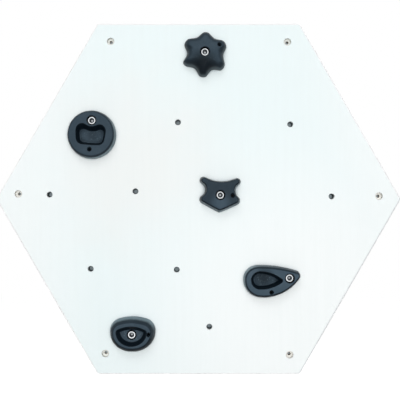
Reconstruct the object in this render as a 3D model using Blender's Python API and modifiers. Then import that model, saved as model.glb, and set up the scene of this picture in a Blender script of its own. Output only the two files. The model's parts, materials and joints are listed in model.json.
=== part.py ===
"""Hexagonal climbing wall panel: a painted plywood board with tee nuts let into its back and five bolt-on holds.

World frame: X to the right, Z up, Y into the wall. The origin is the centre of the board's back face, which lies
against the wall. Every part is parented to one empty that turns this round, so inside it x is to the right, y is
up and z points out of the wall: z = 0 is the back face and z = PANEL_THICKNESS the front. All lengths are metres.
"""

import math

import bmesh
import bpy
from mathutils import Matrix, Vector

# Board
PANEL_SIDE = 0.400
PANEL_THICKNESS = 0.018
PANEL_CORNER_ROUND = 0.004
FRONT_EDGE_ROUND = 0.0025
BACK_EDGE_EASE = 0.0008

# Gap kept between two pieces that touch on the real panel
FIT_GAP = 0.0003

# Screw holes that fasten the board to the wall, one near each corner, anticlockwise from the right. They are
# drilled by hand, so each lies a little off its corner's centre line: the swings are degrees about the centre.
SCREW_INSET = 0.0435
SCREW_HOLE_DIAMETER = 0.0065
SCREW_SEAT_DIAMETER = 0.015
SCREW_SEAT_DEPTH = 0.009
SCREW_SWINGS = (0.9, 0.5, -0.8, -1.6, -1.1, 0.3)

# Tee nuts: a threaded barrel on a round flange with four prongs that bite into the wood. The flange is let into
# the back so that the board lies flat on the wall. The thread is left plain, with the fit gap round the bolt.
TEE_FLANGE_DIAMETER = 0.025
TEE_FLANGE_THICKNESS = 0.0015
TEE_BARREL_WALL = 0.0006
TEE_BARREL_SETBACK = 0.005
TEE_BORE_LEAD = 0.0005
TEE_PRONGS = 4
TEE_PRONG_LENGTH = 0.006
TEE_PRONG_WIDTH = 0.0045
TEE_PRONG_THICKNESS = 0.0012
TEE_PRONG_TIP = 0.0012
TEE_NOTCH_DEPTH = 0.0022

# Bolts: socket head cap screws
BOLT_DIAMETER = 0.0094
BOLT_HEAD_DIAMETER = 0.016
BOLT_HEAD_HEIGHT = 0.010
BOLT_HEAD_EASE = 0.0007
BOLT_SOCKET_WIDTH = 0.008
BOLT_SOCKET_DEPTH = 0.005
BOLT_END_SETBACK = 0.002
BOLT_END_EASE = 0.001

# Washers: how far they stand out round the bolt heads, and how loosely they go over the shanks
WASHER_RIM = 0.0006
WASHER_CLEARANCE = 0.00055
WASHER_THICKNESS = 0.0018

# What every hold has: a bore round its bolt, a recess round the washer and a stepped hole for a lock screw
HOLD_BORE_CLEARANCE = 0.0008
HOLD_RECESS_CLEARANCE = 0.0005
LOCK_HOLE_DIAMETER = 0.0045
LOCK_SEAT_DIAMETER = 0.008
LOCK_SEAT_DEPTH = 0.0065

# Outlines are drawn round circles (x, y, radius) about the bolt. These, their joins and the spots of the lock holes
# are shares of the hold's first size, so that a hold can be made larger or smaller by that size alone.

# Star hold: six lobes round its bolt, each given by its direction in degrees and its share of the reach
STAR_REACH = 0.046
STAR_HEIGHT = 0.029
STAR_SEAT = 0.010
STAR_LOBES = ((-152, 1.025), (-95, 0.99), (-36, 1.0), (26, 0.99), (87, 0.92), (148, 0.98))
STAR_LOBE_ROUND = 0.187
STAR_HOLLOW = 0.835
STAR_LOCK_SPOT = 0.68
STAR_LOCK_LOBE = 3

# Round hold: a disc that hangs below its bolt, with a kidney-shaped finger pocket
ROUND_RADIUS = 0.0475
ROUND_HEIGHT = 0.024
ROUND_SEAT = 0.007
ROUND_DROP = 0.56
ROUND_LOCK_SPOT = (0, -1.19)
ROUND_POCKET_DEPTH = 0.015
ROUND_POCKET = (
    (-0.326, -0.742, 0.246),
    (0.326, -0.742, 0.246),
    (0.358, -0.425, 0.246),
    (-0.358, -0.425, 0.246),
)
ROUND_POCKET_JOINS = (-4.2, -2.1, 0.46, -2.1)
ROUND_TURN = -4

# Five-pointed hold: chin, right cheek, right ear, left ear and left cheek. Its walls lean in towards its crown.
FIVE_REACH = 0.040
FIVE_HEIGHT = 0.024
FIVE_SEAT = 0.005
FIVE_POINTS = (
    (-0.027, -0.650, 0.180),
    (0.760, -0.272, 0.200),
    (0.840, 0.657, 0.158),
    (-0.825, 0.725, 0.162),
    (-0.805, -0.215, 0.190),
)
FIVE_JOINS = (-15, 0.395, 1.74, 0.368, -15)
FIVE_CROWN = 0.5
FIVE_LOCK_SPOT = (0.600, -0.025)

# Drop hold: its bolt goes through the narrow end, and the wide end holds a drop-shaped finger pocket
DROP_LENGTH = 0.112
DROP_HEIGHT = 0.024
DROP_SEAT = 0.005
DROP_ENDS = ((-0.511, -0.003, 0.283), (0.120, 0.022, 0.086))
DROP_JOINS = (-0.785, -2.23)
DROP_POCKET_DEPTH = 0.014
DROP_POCKET = ((-0.516, 0.030, 0.154), (-0.163, -0.021, 0.035))
DROP_POCKET_JOINS = (-0.625, -0.625)
DROP_LOCK_SPOT = (-0.345, -0.204)
DROP_TURN = 7

# Oval hold: its bolt stands in the floor of a half-moon pocket
OVAL_WIDTH = 0.090
OVAL_HEIGHT = 0.028
OVAL_SEAT = 0.004
OVAL_ARCS = ((0.004, -0.076, 0.314), (0.233, 0.061, 0.278), (-0.211, 0.064, 0.278))
OVAL_JOINS = (-1, -1, -1)
OVAL_POCKET_DEPTH = 0.011
OVAL_POCKET = ((0, -0.059, 0.158), (0.262, 0.070, 0.062), (-0.257, 0.080, 0.062))
OVAL_POCKET_JOINS = (-0.52, -0.61, -0.52)
OVAL_LOCK_SPOT = (0.372, 0.026)

# Tee nuts on the board, row by row from the top left, as shares of the board's side, so that the layout keeps
# its look when the side changes. The name is that of the hold bolted there, or None where the nut is empty.
TEE_NUT_PLACES = (
    (0.031, 0.714, "star"),
    (-0.520, 0.382, "round_pocket"),
    (-0.102, 0.379, None),
    (0.453, 0.369, None),
    (-0.736, 0.022, None),
    (-0.312, 0.038, None),
    (0.106, 0.019, "five_point"),
    (0.657, 0.013, None),
    (-0.533, -0.345, None),
    (-0.108, -0.349, None),
    (0.4435, -0.386, "drop_pocket"),
    (-0.3265, -0.663, "oval_pocket"),
    (0.053, -0.631, None),
)

# Facets round a full turn, and how far a facet may lie from the arc of an outline
HOLE_FACETS = 16
BOLT_FACETS = 20
ROUND_HOLD_FACETS = 48
ARC_ERROR = 0.00025

# Edges that turn by more than this are shaded sharp
SHARP_EDGE = math.radians(35)

# Sections up a hold, lowest first. Each has its height as a share of the hold's, its size as a share of the
# outline's, and how far it's drawn in from that outline, as a share of the hold's height.
STAR_SECTIONS = (
    (0, 1, 0),
    (0.50, 1, 0.02),
    (0.66, 0.975, 0.05),
    (0.79, 0.92, 0.075),
    (0.89, 0.83, 0.10),
    (0.965, 0.69, 0.12),
    (1, 0.52, 0.13),
)
FLAT_SECTIONS = ((0, 1, 0), (0.60, 1, 0.03), (0.80, 1, 0.08), (0.92, 1, 0.15), (0.98, 1, 0.215), (1, 1, 0.28))
FIVE_SECTIONS = (
    (0, 1, 0),
    (0.08, 1, 0),
    (0.60, 0.97, 0.03),
    (0.84, 0.958, 0.065),
    (0.95, 0.952, 0.105),
    (1, 0.948, 0.16),
)
OVAL_SECTIONS = (
    (0, 1, 0),
    (0.42, 1, 0.04),
    (0.64, 1, 0.10),
    (0.80, 1, 0.175),
    (0.91, 1, 0.255),
    (0.975, 1, 0.335),
    (1, 1, 0.40),
)

# Sections down a finger pocket, from above its rim to its floor: the same three shares, of the pocket's depth
POCKET_SECTIONS = (
    (-0.25, 1, -0.12),
    (0, 1, -0.04),
    (0.10, 1, 0.02),
    (0.45, 0.98, 0.05),
    (0.78, 0.955, 0.10),
    (0.94, 0.93, 0.15),
    (1, 0.90, 0.20),
)


def clear_scene():
    for item in list(bpy.data.objects):
        bpy.data.objects.remove(item)


def new_collection(name):
    collection = bpy.data.collections.new(name)
    bpy.context.scene.collection.children.link(collection)
    return collection


def new_material(name, colour, roughness, metallic):
    material = bpy.data.materials.new(name)
    material.use_nodes = True
    shader = material.node_tree.nodes["Principled BSDF"]
    shader.inputs["Base Color"].default_value = (*colour, 1)
    shader.inputs["Roughness"].default_value = roughness
    shader.inputs["Metallic"].default_value = metallic
    return material


def new_object(name, mesh, collection):
    item = bpy.data.objects.new(name, mesh)
    collection.objects.link(item)
    return item


def as_cutter(item):
    item.hide_render = True
    item.display_type = "WIRE"
    return item


def place(item, frame, x, y, z, turn=0):
    """Puts an object on the board, turned about the line that points out of the wall, in degrees."""
    item.parent = frame
    item.location = (x, y, z)
    item.rotation_euler.z = math.radians(turn)


def finish(item, material):
    """Shades an object's rounds smooth but keeps its flat faces flat, and gives it its material."""
    item.data.shade_smooth()
    item.data.set_sharp_from_angle(angle=SHARP_EDGE)
    item.modifiers.new("flat faces", "WEIGHTED_NORMAL").keep_sharp = True
    item.data.materials.clear()
    item.data.materials.append(material)


def mesh_from(name, shape):
    mesh = bpy.data.meshes.new(name)
    shape.to_mesh(mesh)
    shape.free()
    return mesh


def apply_modifiers(item):
    """Replaces an object's mesh with what its modifiers make of it."""
    bpy.context.view_layer.update()
    graph = bpy.context.evaluated_depsgraph_get()
    mesh = bpy.data.meshes.new_from_object(item.evaluated_get(graph))
    item.modifiers.clear()
    item.data = mesh
    return item


def boolean(item, other, operation):
    """Cuts an object with another object, or with every object of a collection, or joins it to them."""
    modifier = item.modifiers.new(other.name, "BOOLEAN")
    modifier.operation = operation
    modifier.solver = "EXACT"
    if isinstance(other, bpy.types.Collection):
        modifier.operand_type = "COLLECTION"
        modifier.collection = other
    else:
        modifier.object = other


def turned(name, profile, facets, collection, closed=False):
    """An object turned from a profile of (radius, height) points that runs down its outer side."""
    shape = bmesh.new()
    corners = [shape.verts.new((radius, 0, height)) for radius, height in profile]
    if closed:
        corners.append(corners[0])
    for pair in zip(corners, corners[1:]):
        shape.edges.new(pair)
    item = new_object(name, mesh_from(name, shape), collection)
    screw = item.modifiers.new("turn", "SCREW")
    screw.steps = facets
    screw.render_steps = facets
    screw.use_merge_vertices = True
    screw.merge_threshold = 0.00001
    return apply_modifiers(item)


def loft(name, sections, collection):
    """A closed object through sections with equal numbers of points, with its two ends capped."""
    shape = bmesh.new()
    loops = []
    for section in sections:
        corners = [shape.verts.new(point) for point in section]
        loops.append([shape.edges.new(pair) for pair in zip(corners, corners[1:] + corners[:1])])
    for lower, upper in zip(loops, loops[1:]):
        bmesh.ops.bridge_loops(shape, edges=lower + upper)
    for end in (loops[0], loops[-1]):
        bmesh.ops.edgeloop_fill(shape, edges=end)
    bmesh.ops.recalc_face_normals(shape, faces=shape.faces)
    return new_object(name, mesh_from(name, shape), collection)


def arc(centre, start, end, direction):
    """Points along an arc from start to end, both included, each with its direction from the arc's centre.
    direction is 1 for anticlockwise, -1 for clockwise.
    """
    first = start - centre
    last = end - centre
    sweep = direction * (math.atan2(last.y, last.x) - math.atan2(first.y, first.x)) % math.tau
    facet = 2 * math.acos(1 - ARC_ERROR / first.length)
    count = max(1, math.ceil(sweep / facet))
    spokes = [Matrix.Rotation(direction * sweep * i / count, 2) @ first for i in range(count + 1)]
    return [(centre + spoke, spoke.normalized()) for spoke in spokes]


def join_centre(first, second, radius):
    """Centre of the arc that touches two circles (x, y, radius) of an anticlockwise outline. With a radius above 0
    it makes a hollow between them, and below 0 a bulge that runs round them both.
    """
    start = Vector(first[:2])
    along = Vector(second[:2]) - start
    near = abs(first[2] + radius)
    far = abs(second[2] + radius)
    run = (along.length_squared + near**2 - far**2) / (2 * along.length)
    aside = math.sqrt(near**2 - run**2)
    outward = Vector((along.y, -along.x)).normalized()
    return start + run * along.normalized() + math.copysign(aside, radius) * outward


def touch_point(circle, centre, radius):
    """Where an arc about a centre touches a circle, with its radius signed as in join_centre."""
    middle = Vector(circle[:2])
    return middle + math.copysign(circle[2], radius) * (centre - middle).normalized()


def outline(circle_shares, join_shares, size):
    """A closed anticlockwise outline round circles (x, y, radius). Each circle runs into the next through an arc
    of the radius in the joins, above 0 for a hollow and below 0 for a bulge. All are shares of the size. Each point
    comes with the direction that faces straight out of the outline there.
    """
    circles = [[share * size for share in circle] for circle in circle_shares]
    joins = [share * size for share in join_shares]
    following = circles[1:] + circles[:1]
    centres = [join_centre(*trio) for trio in zip(circles, following, joins)]
    points = []
    for i, circle in enumerate(circles):
        arrive = touch_point(circle, centres[i - 1], joins[i - 1])
        leave = touch_point(circle, centres[i], joins[i])
        points += arc(Vector(circle[:2]), arrive, leave, 1)
        land = touch_point(following[i], centres[i], joins[i])
        outward = math.copysign(1, -joins[i])
        points += [(point, outward * away) for point, away in arc(centres[i], leave, land, outward)[1:-1]]
    return points


def circle_points(middle, radius, facets):
    """Points of a circle, each with its direction from the middle."""
    angles = [math.tau * i / facets for i in range(facets)]
    spokes = [Vector((math.cos(angle), math.sin(angle))) for angle in angles]
    return [(middle + radius * spoke, spoke) for spoke in spokes]


def middle_of(points):
    across = [point.x for point, _ in points]
    up = [point.y for point, _ in points]
    return Vector((min(across) + max(across), min(up) + max(up))) / 2


def section(points, middle, size, inset, height):
    """The outline drawn in by an inset and then scaled about a middle point, at a height."""
    return [(*(middle + size * (point - inset * outward - middle)), height) for point, outward in points]


def hold_body(name, points, middle, height, sections, collection):
    rings = [section(points, middle, size, inset * height, share * height) for share, size, inset in sections]
    return loft(name, rings, collection)


def washer_radius():
    return BOLT_HEAD_DIAMETER / 2 + WASHER_RIM


def cut_bolt_way(hold, height, seat, cutters):
    """Bores a hold for its bolt and sinks the recess for the head down to the seat."""
    bore = BOLT_DIAMETER / 2 + HOLD_BORE_CLEARANCE
    recess = washer_radius() + HOLD_RECESS_CLEARANCE
    profile = ((0, 2 * height), (recess, 2 * height), (recess, seat), (bore, seat), (bore, -height), (0, -height))
    boolean(hold, as_cutter(turned(f"{hold.name} bolt way", profile, BOLT_FACETS, cutters)), "DIFFERENCE")


def cut_lock_hole(hold, height, spot, size, cutters):
    """Cuts the stepped hole for the small screw that keeps a hold from turning, at a spot in shares of the size."""
    hole = LOCK_HOLE_DIAMETER / 2
    seat = LOCK_SEAT_DIAMETER / 2
    floor = height - LOCK_SEAT_DEPTH
    profile = ((0, 2 * height), (seat, 2 * height), (seat, floor), (hole, floor), (hole, -height), (0, -height))
    cutter = as_cutter(turned(f"{hold.name} lock hole", profile, HOLE_FACETS, cutters))
    cutter.data.transform(Matrix.Translation((spot[0] * size, spot[1] * size, 0)))
    boolean(hold, cutter, "DIFFERENCE")


def cut_pocket(hold, points, middle, rim, depth, cutters):
    """Sinks a finger pocket whose lip flares out at the rim and whose walls close in towards its middle."""
    rings = []
    for share, size, inset in POCKET_SECTIONS:
        rings.append(section(points, middle, size, inset * depth, rim - share * depth))
    boolean(hold, as_cutter(loft(f"{hold.name} pocket", rings[::-1], cutters)), "DIFFERENCE")


def star_hold(parts, cutters):
    lobes = []
    for direction, reach in STAR_LOBES:
        angle = math.radians(direction)
        distance = reach - STAR_LOBE_ROUND
        lobes.append((distance * math.cos(angle), distance * math.sin(angle), STAR_LOBE_ROUND))
    points = outline(lobes, [STAR_HOLLOW] * len(lobes), STAR_REACH)
    hold = hold_body("hold_star", points, Vector((0, 0)), STAR_HEIGHT, STAR_SECTIONS, parts)
    cut_bolt_way(hold, STAR_HEIGHT, STAR_SEAT, cutters)
    angle = math.radians(STAR_LOBES[STAR_LOCK_LOBE][0])
    spot = (STAR_LOCK_SPOT * math.cos(angle), STAR_LOCK_SPOT * math.sin(angle))
    cut_lock_hole(hold, STAR_HEIGHT, spot, STAR_REACH, cutters)
    return hold


def round_hold(parts, cutters):
    middle = Vector((0, -ROUND_DROP * ROUND_RADIUS))
    points = circle_points(middle, ROUND_RADIUS, ROUND_HOLD_FACETS)
    hold = hold_body("hold_round_pocket", points, middle, ROUND_HEIGHT, FLAT_SECTIONS, parts)
    pocket = outline(ROUND_POCKET, ROUND_POCKET_JOINS, ROUND_RADIUS)
    cut_pocket(hold, pocket, middle_of(pocket), ROUND_HEIGHT, ROUND_POCKET_DEPTH, cutters)
    cut_bolt_way(hold, ROUND_HEIGHT, ROUND_SEAT, cutters)
    cut_lock_hole(hold, ROUND_HEIGHT, ROUND_LOCK_SPOT, ROUND_RADIUS, cutters)
    return hold


def five_point_hold(parts, cutters):
    points = outline(FIVE_POINTS, FIVE_JOINS, FIVE_REACH)
    crown = Vector((0, FIVE_CROWN * FIVE_REACH))
    hold = hold_body("hold_five_point", points, crown, FIVE_HEIGHT, FIVE_SECTIONS, parts)
    cut_bolt_way(hold, FIVE_HEIGHT, FIVE_SEAT, cutters)
    cut_lock_hole(hold, FIVE_HEIGHT, FIVE_LOCK_SPOT, FIVE_REACH, cutters)
    return hold


def drop_hold(parts, cutters):
    points = outline(DROP_ENDS, DROP_JOINS, DROP_LENGTH)
    hold = hold_body("hold_drop_pocket", points, middle_of(points), DROP_HEIGHT, FLAT_SECTIONS, parts)
    pocket = outline(DROP_POCKET, DROP_POCKET_JOINS, DROP_LENGTH)
    deepest = DROP_LENGTH * Vector(DROP_POCKET[0][:2])
    cut_pocket(hold, pocket, deepest, DROP_HEIGHT, DROP_POCKET_DEPTH, cutters)
    cut_bolt_way(hold, DROP_HEIGHT, DROP_SEAT, cutters)
    cut_lock_hole(hold, DROP_HEIGHT, DROP_LOCK_SPOT, DROP_LENGTH, cutters)
    return hold


def oval_hold(parts, cutters):
    points = outline(OVAL_ARCS, OVAL_JOINS, OVAL_WIDTH)
    hold = hold_body("hold_oval_pocket", points, middle_of(points), OVAL_HEIGHT, OVAL_SECTIONS, parts)
    pocket = outline(OVAL_POCKET, OVAL_POCKET_JOINS, OVAL_WIDTH)
    cut_pocket(hold, pocket, middle_of(pocket), OVAL_HEIGHT, OVAL_POCKET_DEPTH, cutters)
    cut_bolt_way(hold, OVAL_HEIGHT, OVAL_SEAT, cutters)
    cut_lock_hole(hold, OVAL_HEIGHT, OVAL_LOCK_SPOT, OVAL_WIDTH, cutters)
    return hold


def washer(name, collection):
    outer = washer_radius()
    inner = BOLT_DIAMETER / 2 + WASHER_CLEARANCE
    profile = ((outer, WASHER_THICKNESS), (outer, 0), (inner, 0), (inner, WASHER_THICKNESS))
    return turned(name, profile, HOLE_FACETS, collection, closed=True)


def bolt(name, shank, parts, cutters):
    """A socket head cap screw with its origin under its head and its shank pointing down."""
    head = BOLT_HEAD_DIAMETER / 2
    body = BOLT_DIAMETER / 2
    profile = (
        (0, BOLT_HEAD_HEIGHT),
        (head - BOLT_HEAD_EASE, BOLT_HEAD_HEIGHT),
        (head, BOLT_HEAD_HEIGHT - BOLT_HEAD_EASE),
        (head, 0),
        (body, 0),
        (body, BOLT_END_EASE - shank),
        (body - BOLT_END_EASE, -shank),
        (0, -shank),
    )
    item = turned(name, profile, BOLT_FACETS, parts)
    socket = bmesh.new()
    radius = BOLT_SOCKET_WIDTH / math.sqrt(3)
    bmesh.ops.create_cone(
        socket, cap_ends=True, segments=6, radius1=radius, radius2=radius, depth=2 * BOLT_SOCKET_DEPTH
    )
    bmesh.ops.translate(socket, verts=socket.verts, vec=(0, 0, BOLT_HEAD_HEIGHT))
    cutter = as_cutter(new_object(f"{name} socket", mesh_from("socket", socket), cutters))
    boolean(item, cutter, "DIFFERENCE")
    return apply_modifiers(item)


def tee_bore_radius():
    return BOLT_DIAMETER / 2 + FIT_GAP


def tee_barrel_radius():
    return tee_bore_radius() + TEE_BARREL_WALL


def prong_shapes(flare, tip):
    """A tee nut's prongs, each a mesh that tapers to a tip of the given width, all grown by the flare."""
    standing = TEE_FLANGE_DIAMETER / 2 - TEE_NOTCH_DEPTH - TEE_PRONG_THICKNESS / 2
    root = TEE_FLANGE_THICKNESS / 2
    top = TEE_FLANGE_THICKNESS + TEE_PRONG_LENGTH + flare
    meshes = []
    for i in range(TEE_PRONGS):
        shape = bmesh.new()
        bmesh.ops.create_cube(shape, size=1)
        for corner in shape.verts:
            at_root = corner.co.z < 0
            corner.co.x *= TEE_PRONG_THICKNESS + 2 * flare
            corner.co.y *= (TEE_PRONG_WIDTH if at_root else tip) + 2 * flare
            corner.co.z = root if at_root else top
        bmesh.ops.translate(shape, verts=shape.verts, vec=(standing, 0, 0))
        turn = Matrix.Rotation(math.tau * i / TEE_PRONGS, 3, "Z")
        bmesh.ops.rotate(shape, verts=shape.verts, cent=(0, 0, 0), matrix=turn)
        meshes.append(mesh_from(f"tee nut prong {i}", shape))
    return meshes


def notch_cutters(collection):
    """The notches at a tee nut's rim, where the prongs were bent out of the flange."""
    for i in range(TEE_PRONGS):
        shape = bmesh.new()
        bmesh.ops.create_cube(shape, size=1)
        size = (2 * TEE_NOTCH_DEPTH, TEE_PRONG_WIDTH, 4 * TEE_FLANGE_THICKNESS)
        bmesh.ops.scale(shape, verts=shape.verts, vec=size)
        bmesh.ops.translate(shape, verts=shape.verts, vec=(TEE_FLANGE_DIAMETER / 2, 0, 0))
        turn = Matrix.Rotation(math.tau * i / TEE_PRONGS, 3, "Z")
        bmesh.ops.rotate(shape, verts=shape.verts, cent=(0, 0, 0), matrix=turn)
        as_cutter(new_object(f"tee nut notch {i}", mesh_from("notch", shape), collection))


def tee_nut_mesh(cutters):
    """One tee nut, standing on its flange with its barrel and prongs pointing to the board's front."""
    barrel = tee_barrel_radius()
    bore = tee_bore_radius()
    flange = TEE_FLANGE_DIAMETER / 2
    top = PANEL_THICKNESS - TEE_BARREL_SETBACK
    profile = (
        (barrel, top),
        (barrel, TEE_FLANGE_THICKNESS),
        (flange, TEE_FLANGE_THICKNESS),
        (flange, 0),
        (bore, 0),
        (bore, top - TEE_BORE_LEAD),
        (bore + TEE_BORE_LEAD, top),
    )
    nut = as_cutter(turned("tee nut", profile, HOLE_FACETS, cutters, closed=True))
    notches = new_collection("tee nut notches")
    notch_cutters(notches)
    boolean(nut, notches, "DIFFERENCE")
    for mesh in prong_shapes(0, TEE_PRONG_TIP):
        boolean(nut, as_cutter(new_object(mesh.name, mesh, cutters)), "UNION")
    mesh = apply_modifiers(nut).data
    bpy.data.objects.remove(nut)
    return mesh


def tee_seat_mesh(cutters):
    """What the board loses for one tee nut: its through hole, the flange's counterbore and the prongs' slots."""
    hole = tee_barrel_radius() + FIT_GAP
    counterbore = TEE_FLANGE_DIAMETER / 2 + FIT_GAP
    floor = TEE_FLANGE_THICKNESS + FIT_GAP
    profile = (
        (0, 2 * PANEL_THICKNESS),
        (hole, 2 * PANEL_THICKNESS),
        (hole, floor),
        (counterbore, floor),
        (counterbore, -PANEL_THICKNESS),
        (0, -PANEL_THICKNESS),
    )
    seat = as_cutter(turned("tee nut seat", profile, HOLE_FACETS, cutters))
    for mesh in prong_shapes(FIT_GAP, TEE_PRONG_WIDTH):
        boolean(seat, as_cutter(new_object(mesh.name, mesh, cutters)), "UNION")
    mesh = apply_modifiers(seat).data
    bpy.data.objects.remove(seat)
    return mesh


def screw_seat_mesh(cutters):
    """A wall screw's clearance hole, with the counterbore that its head sits in."""
    hole = SCREW_HOLE_DIAMETER / 2
    counterbore = SCREW_SEAT_DIAMETER / 2
    floor = PANEL_THICKNESS - SCREW_SEAT_DEPTH
    profile = (
        (0, 2 * PANEL_THICKNESS),
        (counterbore, 2 * PANEL_THICKNESS),
        (counterbore, floor),
        (hole, floor),
        (hole, -PANEL_THICKNESS),
        (0, -PANEL_THICKNESS),
    )
    seat = turned("screw seat", profile, HOLE_FACETS, cutters)
    mesh = seat.data
    bpy.data.objects.remove(seat)
    return mesh


def bevel(shape, edges, width, segments):
    bmesh.ops.bevel(
        shape, geom=edges, offset=width, segments=segments, profile=0.5, affect="EDGES", clamp_overlap=True
    )


def board_blank(collection):
    """The hexagonal board before it is drilled: its corners rounded and both its rims eased."""
    shape = bmesh.new()
    bmesh.ops.create_cone(
        shape, cap_ends=True, segments=6, radius1=PANEL_SIDE, radius2=PANEL_SIDE, depth=PANEL_THICKNESS
    )
    point_right = Matrix.Rotation(math.tau / 12, 3, "Z")
    bmesh.ops.rotate(shape, verts=shape.verts, cent=(0, 0, 0), matrix=point_right)
    bmesh.ops.translate(shape, verts=shape.verts, vec=(0, 0, PANEL_THICKNESS / 2))
    middle = PANEL_THICKNESS / 2
    uprights = [edge for edge in shape.edges if (edge.verts[0].co.z < middle) != (edge.verts[1].co.z < middle)]
    bevel(shape, uprights, PANEL_CORNER_ROUND, 3)
    front = [edge for edge in shape.edges if min(vert.co.z for vert in edge.verts) > middle]
    back = [edge for edge in shape.edges if max(vert.co.z for vert in edge.verts) < middle]
    bevel(shape, front, FRONT_EDGE_ROUND, 3)
    bevel(shape, back, BACK_EDGE_EASE, 1)
    return new_object("panel", mesh_from("panel", shape), collection)


def board_place(share_x, share_y):
    return share_x * PANEL_SIDE, share_y * PANEL_SIDE


def screw_places():
    reach = PANEL_SIDE - SCREW_INSET
    for i, swing in enumerate(SCREW_SWINGS):
        angle = math.radians(60 * i + swing)
        yield reach * math.cos(angle), reach * math.sin(angle)


def board(parts, cutters, frame):
    """The board, drilled for its tee nuts and its wall screws."""
    item = board_blank(parts)
    place(item, frame, 0, 0, 0)
    holes = new_collection("board holes")
    tee_seat = tee_seat_mesh(cutters)
    for share_x, share_y, _ in TEE_NUT_PLACES:
        cutter = as_cutter(new_object("tee nut seat", tee_seat, holes))
        place(cutter, frame, *board_place(share_x, share_y), 0)
    screw_seat = screw_seat_mesh(cutters)
    for x, y in screw_places():
        cutter = as_cutter(new_object("screw seat", screw_seat, holes))
        place(cutter, frame, x, y, 0)
    boolean(item, holes, "DIFFERENCE")
    return apply_modifiers(item)


def main():
    clear_scene()
    parts = new_collection("hexagonal climbing wall panel")
    cutters = new_collection("cutters")
    frame = bpy.data.objects.new("wall face", None)
    frame.rotation_euler.x = math.radians(90)
    parts.objects.link(frame)

    paint = new_material("white paint on plywood", (0.88, 0.91, 0.92), 0.55, 0)
    plastic = new_material("charcoal moulded plastic", (0.045, 0.055, 0.068), 0.62, 0)
    zinc = new_material("bright zinc", (0.78, 0.79, 0.80), 0.30, 1)
    dull_zinc = new_material("dull zinc", (0.52, 0.54, 0.56), 0.42, 1)

    finish(board(parts, cutters, frame), paint)

    makers = {
        "star": (star_hold, STAR_SEAT, 0),
        "round_pocket": (round_hold, ROUND_SEAT, ROUND_TURN),
        "five_point": (five_point_hold, FIVE_SEAT, 0),
        "drop_pocket": (drop_hold, DROP_SEAT, DROP_TURN),
        "oval_pocket": (oval_hold, OVAL_SEAT, 0),
    }
    nut_mesh = tee_nut_mesh(cutters)
    for number, (share_x, share_y, hold_name) in enumerate(TEE_NUT_PLACES, 1):
        x, y = board_place(share_x, share_y)
        nut = new_object(f"tee_nut_{number:02}", nut_mesh, parts)
        place(nut, frame, x, y, 0)
        finish(nut, dull_zinc)
        if hold_name is None:
            continue
        make_hold, seat, turn = makers[hold_name]
        base = PANEL_THICKNESS + FIT_GAP
        hold = make_hold(parts, cutters)
        apply_modifiers(hold)
        place(hold, frame, x, y, base, turn)
        finish(hold, plastic)
        ring = washer(f"washer_{hold_name}", parts)
        place(ring, frame, x, y, base + seat + FIT_GAP, turn)
        finish(ring, dull_zinc)
        under_head = base + seat + WASHER_THICKNESS + 2 * FIT_GAP
        screw = bolt(f"bolt_{hold_name}", under_head - BOLT_END_SETBACK, parts, cutters)
        place(screw, frame, x, y, under_head)
        finish(screw, zinc)


main()
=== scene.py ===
# %% [markdown]
# # Hexagonal climbing wall panel
# This is a plywood board that is screwed to a wall, with moulded plastic holds bolted to its painted front.
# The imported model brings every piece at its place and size. This lesson gives the board its paint and
# grain, and replaces the plain holds, bolts, washers and tee nuts with finely shaped ones that fill the
# same space.

import json
import math

import bmesh
import bpy
from mathutils import Matrix, Vector

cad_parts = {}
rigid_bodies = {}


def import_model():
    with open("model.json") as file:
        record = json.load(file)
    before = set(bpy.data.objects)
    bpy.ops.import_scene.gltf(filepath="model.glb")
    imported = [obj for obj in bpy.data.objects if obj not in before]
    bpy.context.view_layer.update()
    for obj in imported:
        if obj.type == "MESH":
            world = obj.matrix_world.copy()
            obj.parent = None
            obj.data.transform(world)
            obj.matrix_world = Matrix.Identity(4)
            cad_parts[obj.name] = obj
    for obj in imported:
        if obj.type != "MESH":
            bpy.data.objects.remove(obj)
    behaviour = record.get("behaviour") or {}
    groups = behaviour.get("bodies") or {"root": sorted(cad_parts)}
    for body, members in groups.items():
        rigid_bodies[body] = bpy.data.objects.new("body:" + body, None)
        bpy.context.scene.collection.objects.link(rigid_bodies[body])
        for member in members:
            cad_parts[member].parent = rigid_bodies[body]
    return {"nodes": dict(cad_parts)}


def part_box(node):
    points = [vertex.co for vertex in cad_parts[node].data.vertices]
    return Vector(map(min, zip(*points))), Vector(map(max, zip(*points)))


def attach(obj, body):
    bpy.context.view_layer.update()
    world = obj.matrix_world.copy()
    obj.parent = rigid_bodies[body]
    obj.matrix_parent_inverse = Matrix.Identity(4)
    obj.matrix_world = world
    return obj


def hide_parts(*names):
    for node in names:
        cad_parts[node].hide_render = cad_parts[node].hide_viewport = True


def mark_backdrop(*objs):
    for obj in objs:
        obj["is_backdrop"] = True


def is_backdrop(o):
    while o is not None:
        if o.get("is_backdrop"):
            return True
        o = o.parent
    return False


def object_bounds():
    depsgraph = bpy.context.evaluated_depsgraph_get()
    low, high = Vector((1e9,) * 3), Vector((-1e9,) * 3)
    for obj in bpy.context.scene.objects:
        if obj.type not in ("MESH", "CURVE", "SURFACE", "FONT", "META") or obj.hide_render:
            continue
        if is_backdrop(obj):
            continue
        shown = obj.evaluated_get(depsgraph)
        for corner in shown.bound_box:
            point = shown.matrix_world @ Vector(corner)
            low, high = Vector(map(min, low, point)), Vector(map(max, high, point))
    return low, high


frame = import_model()
cad_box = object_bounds()
print("The model measures", [round(1000 * (high - low), 1) for low, high in zip(*cad_box)], "mm")

# %% [markdown]
# ## Reading the board
# X runs to the right, Z up and Y into the wall, so a smaller Y is nearer to the climber, and the board's
# back is at 0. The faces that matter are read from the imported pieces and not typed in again: if the board
# gets thicker, everything here moves with it.

# %% Faces and gaps
FIT_GAP = 0.0003

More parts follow.
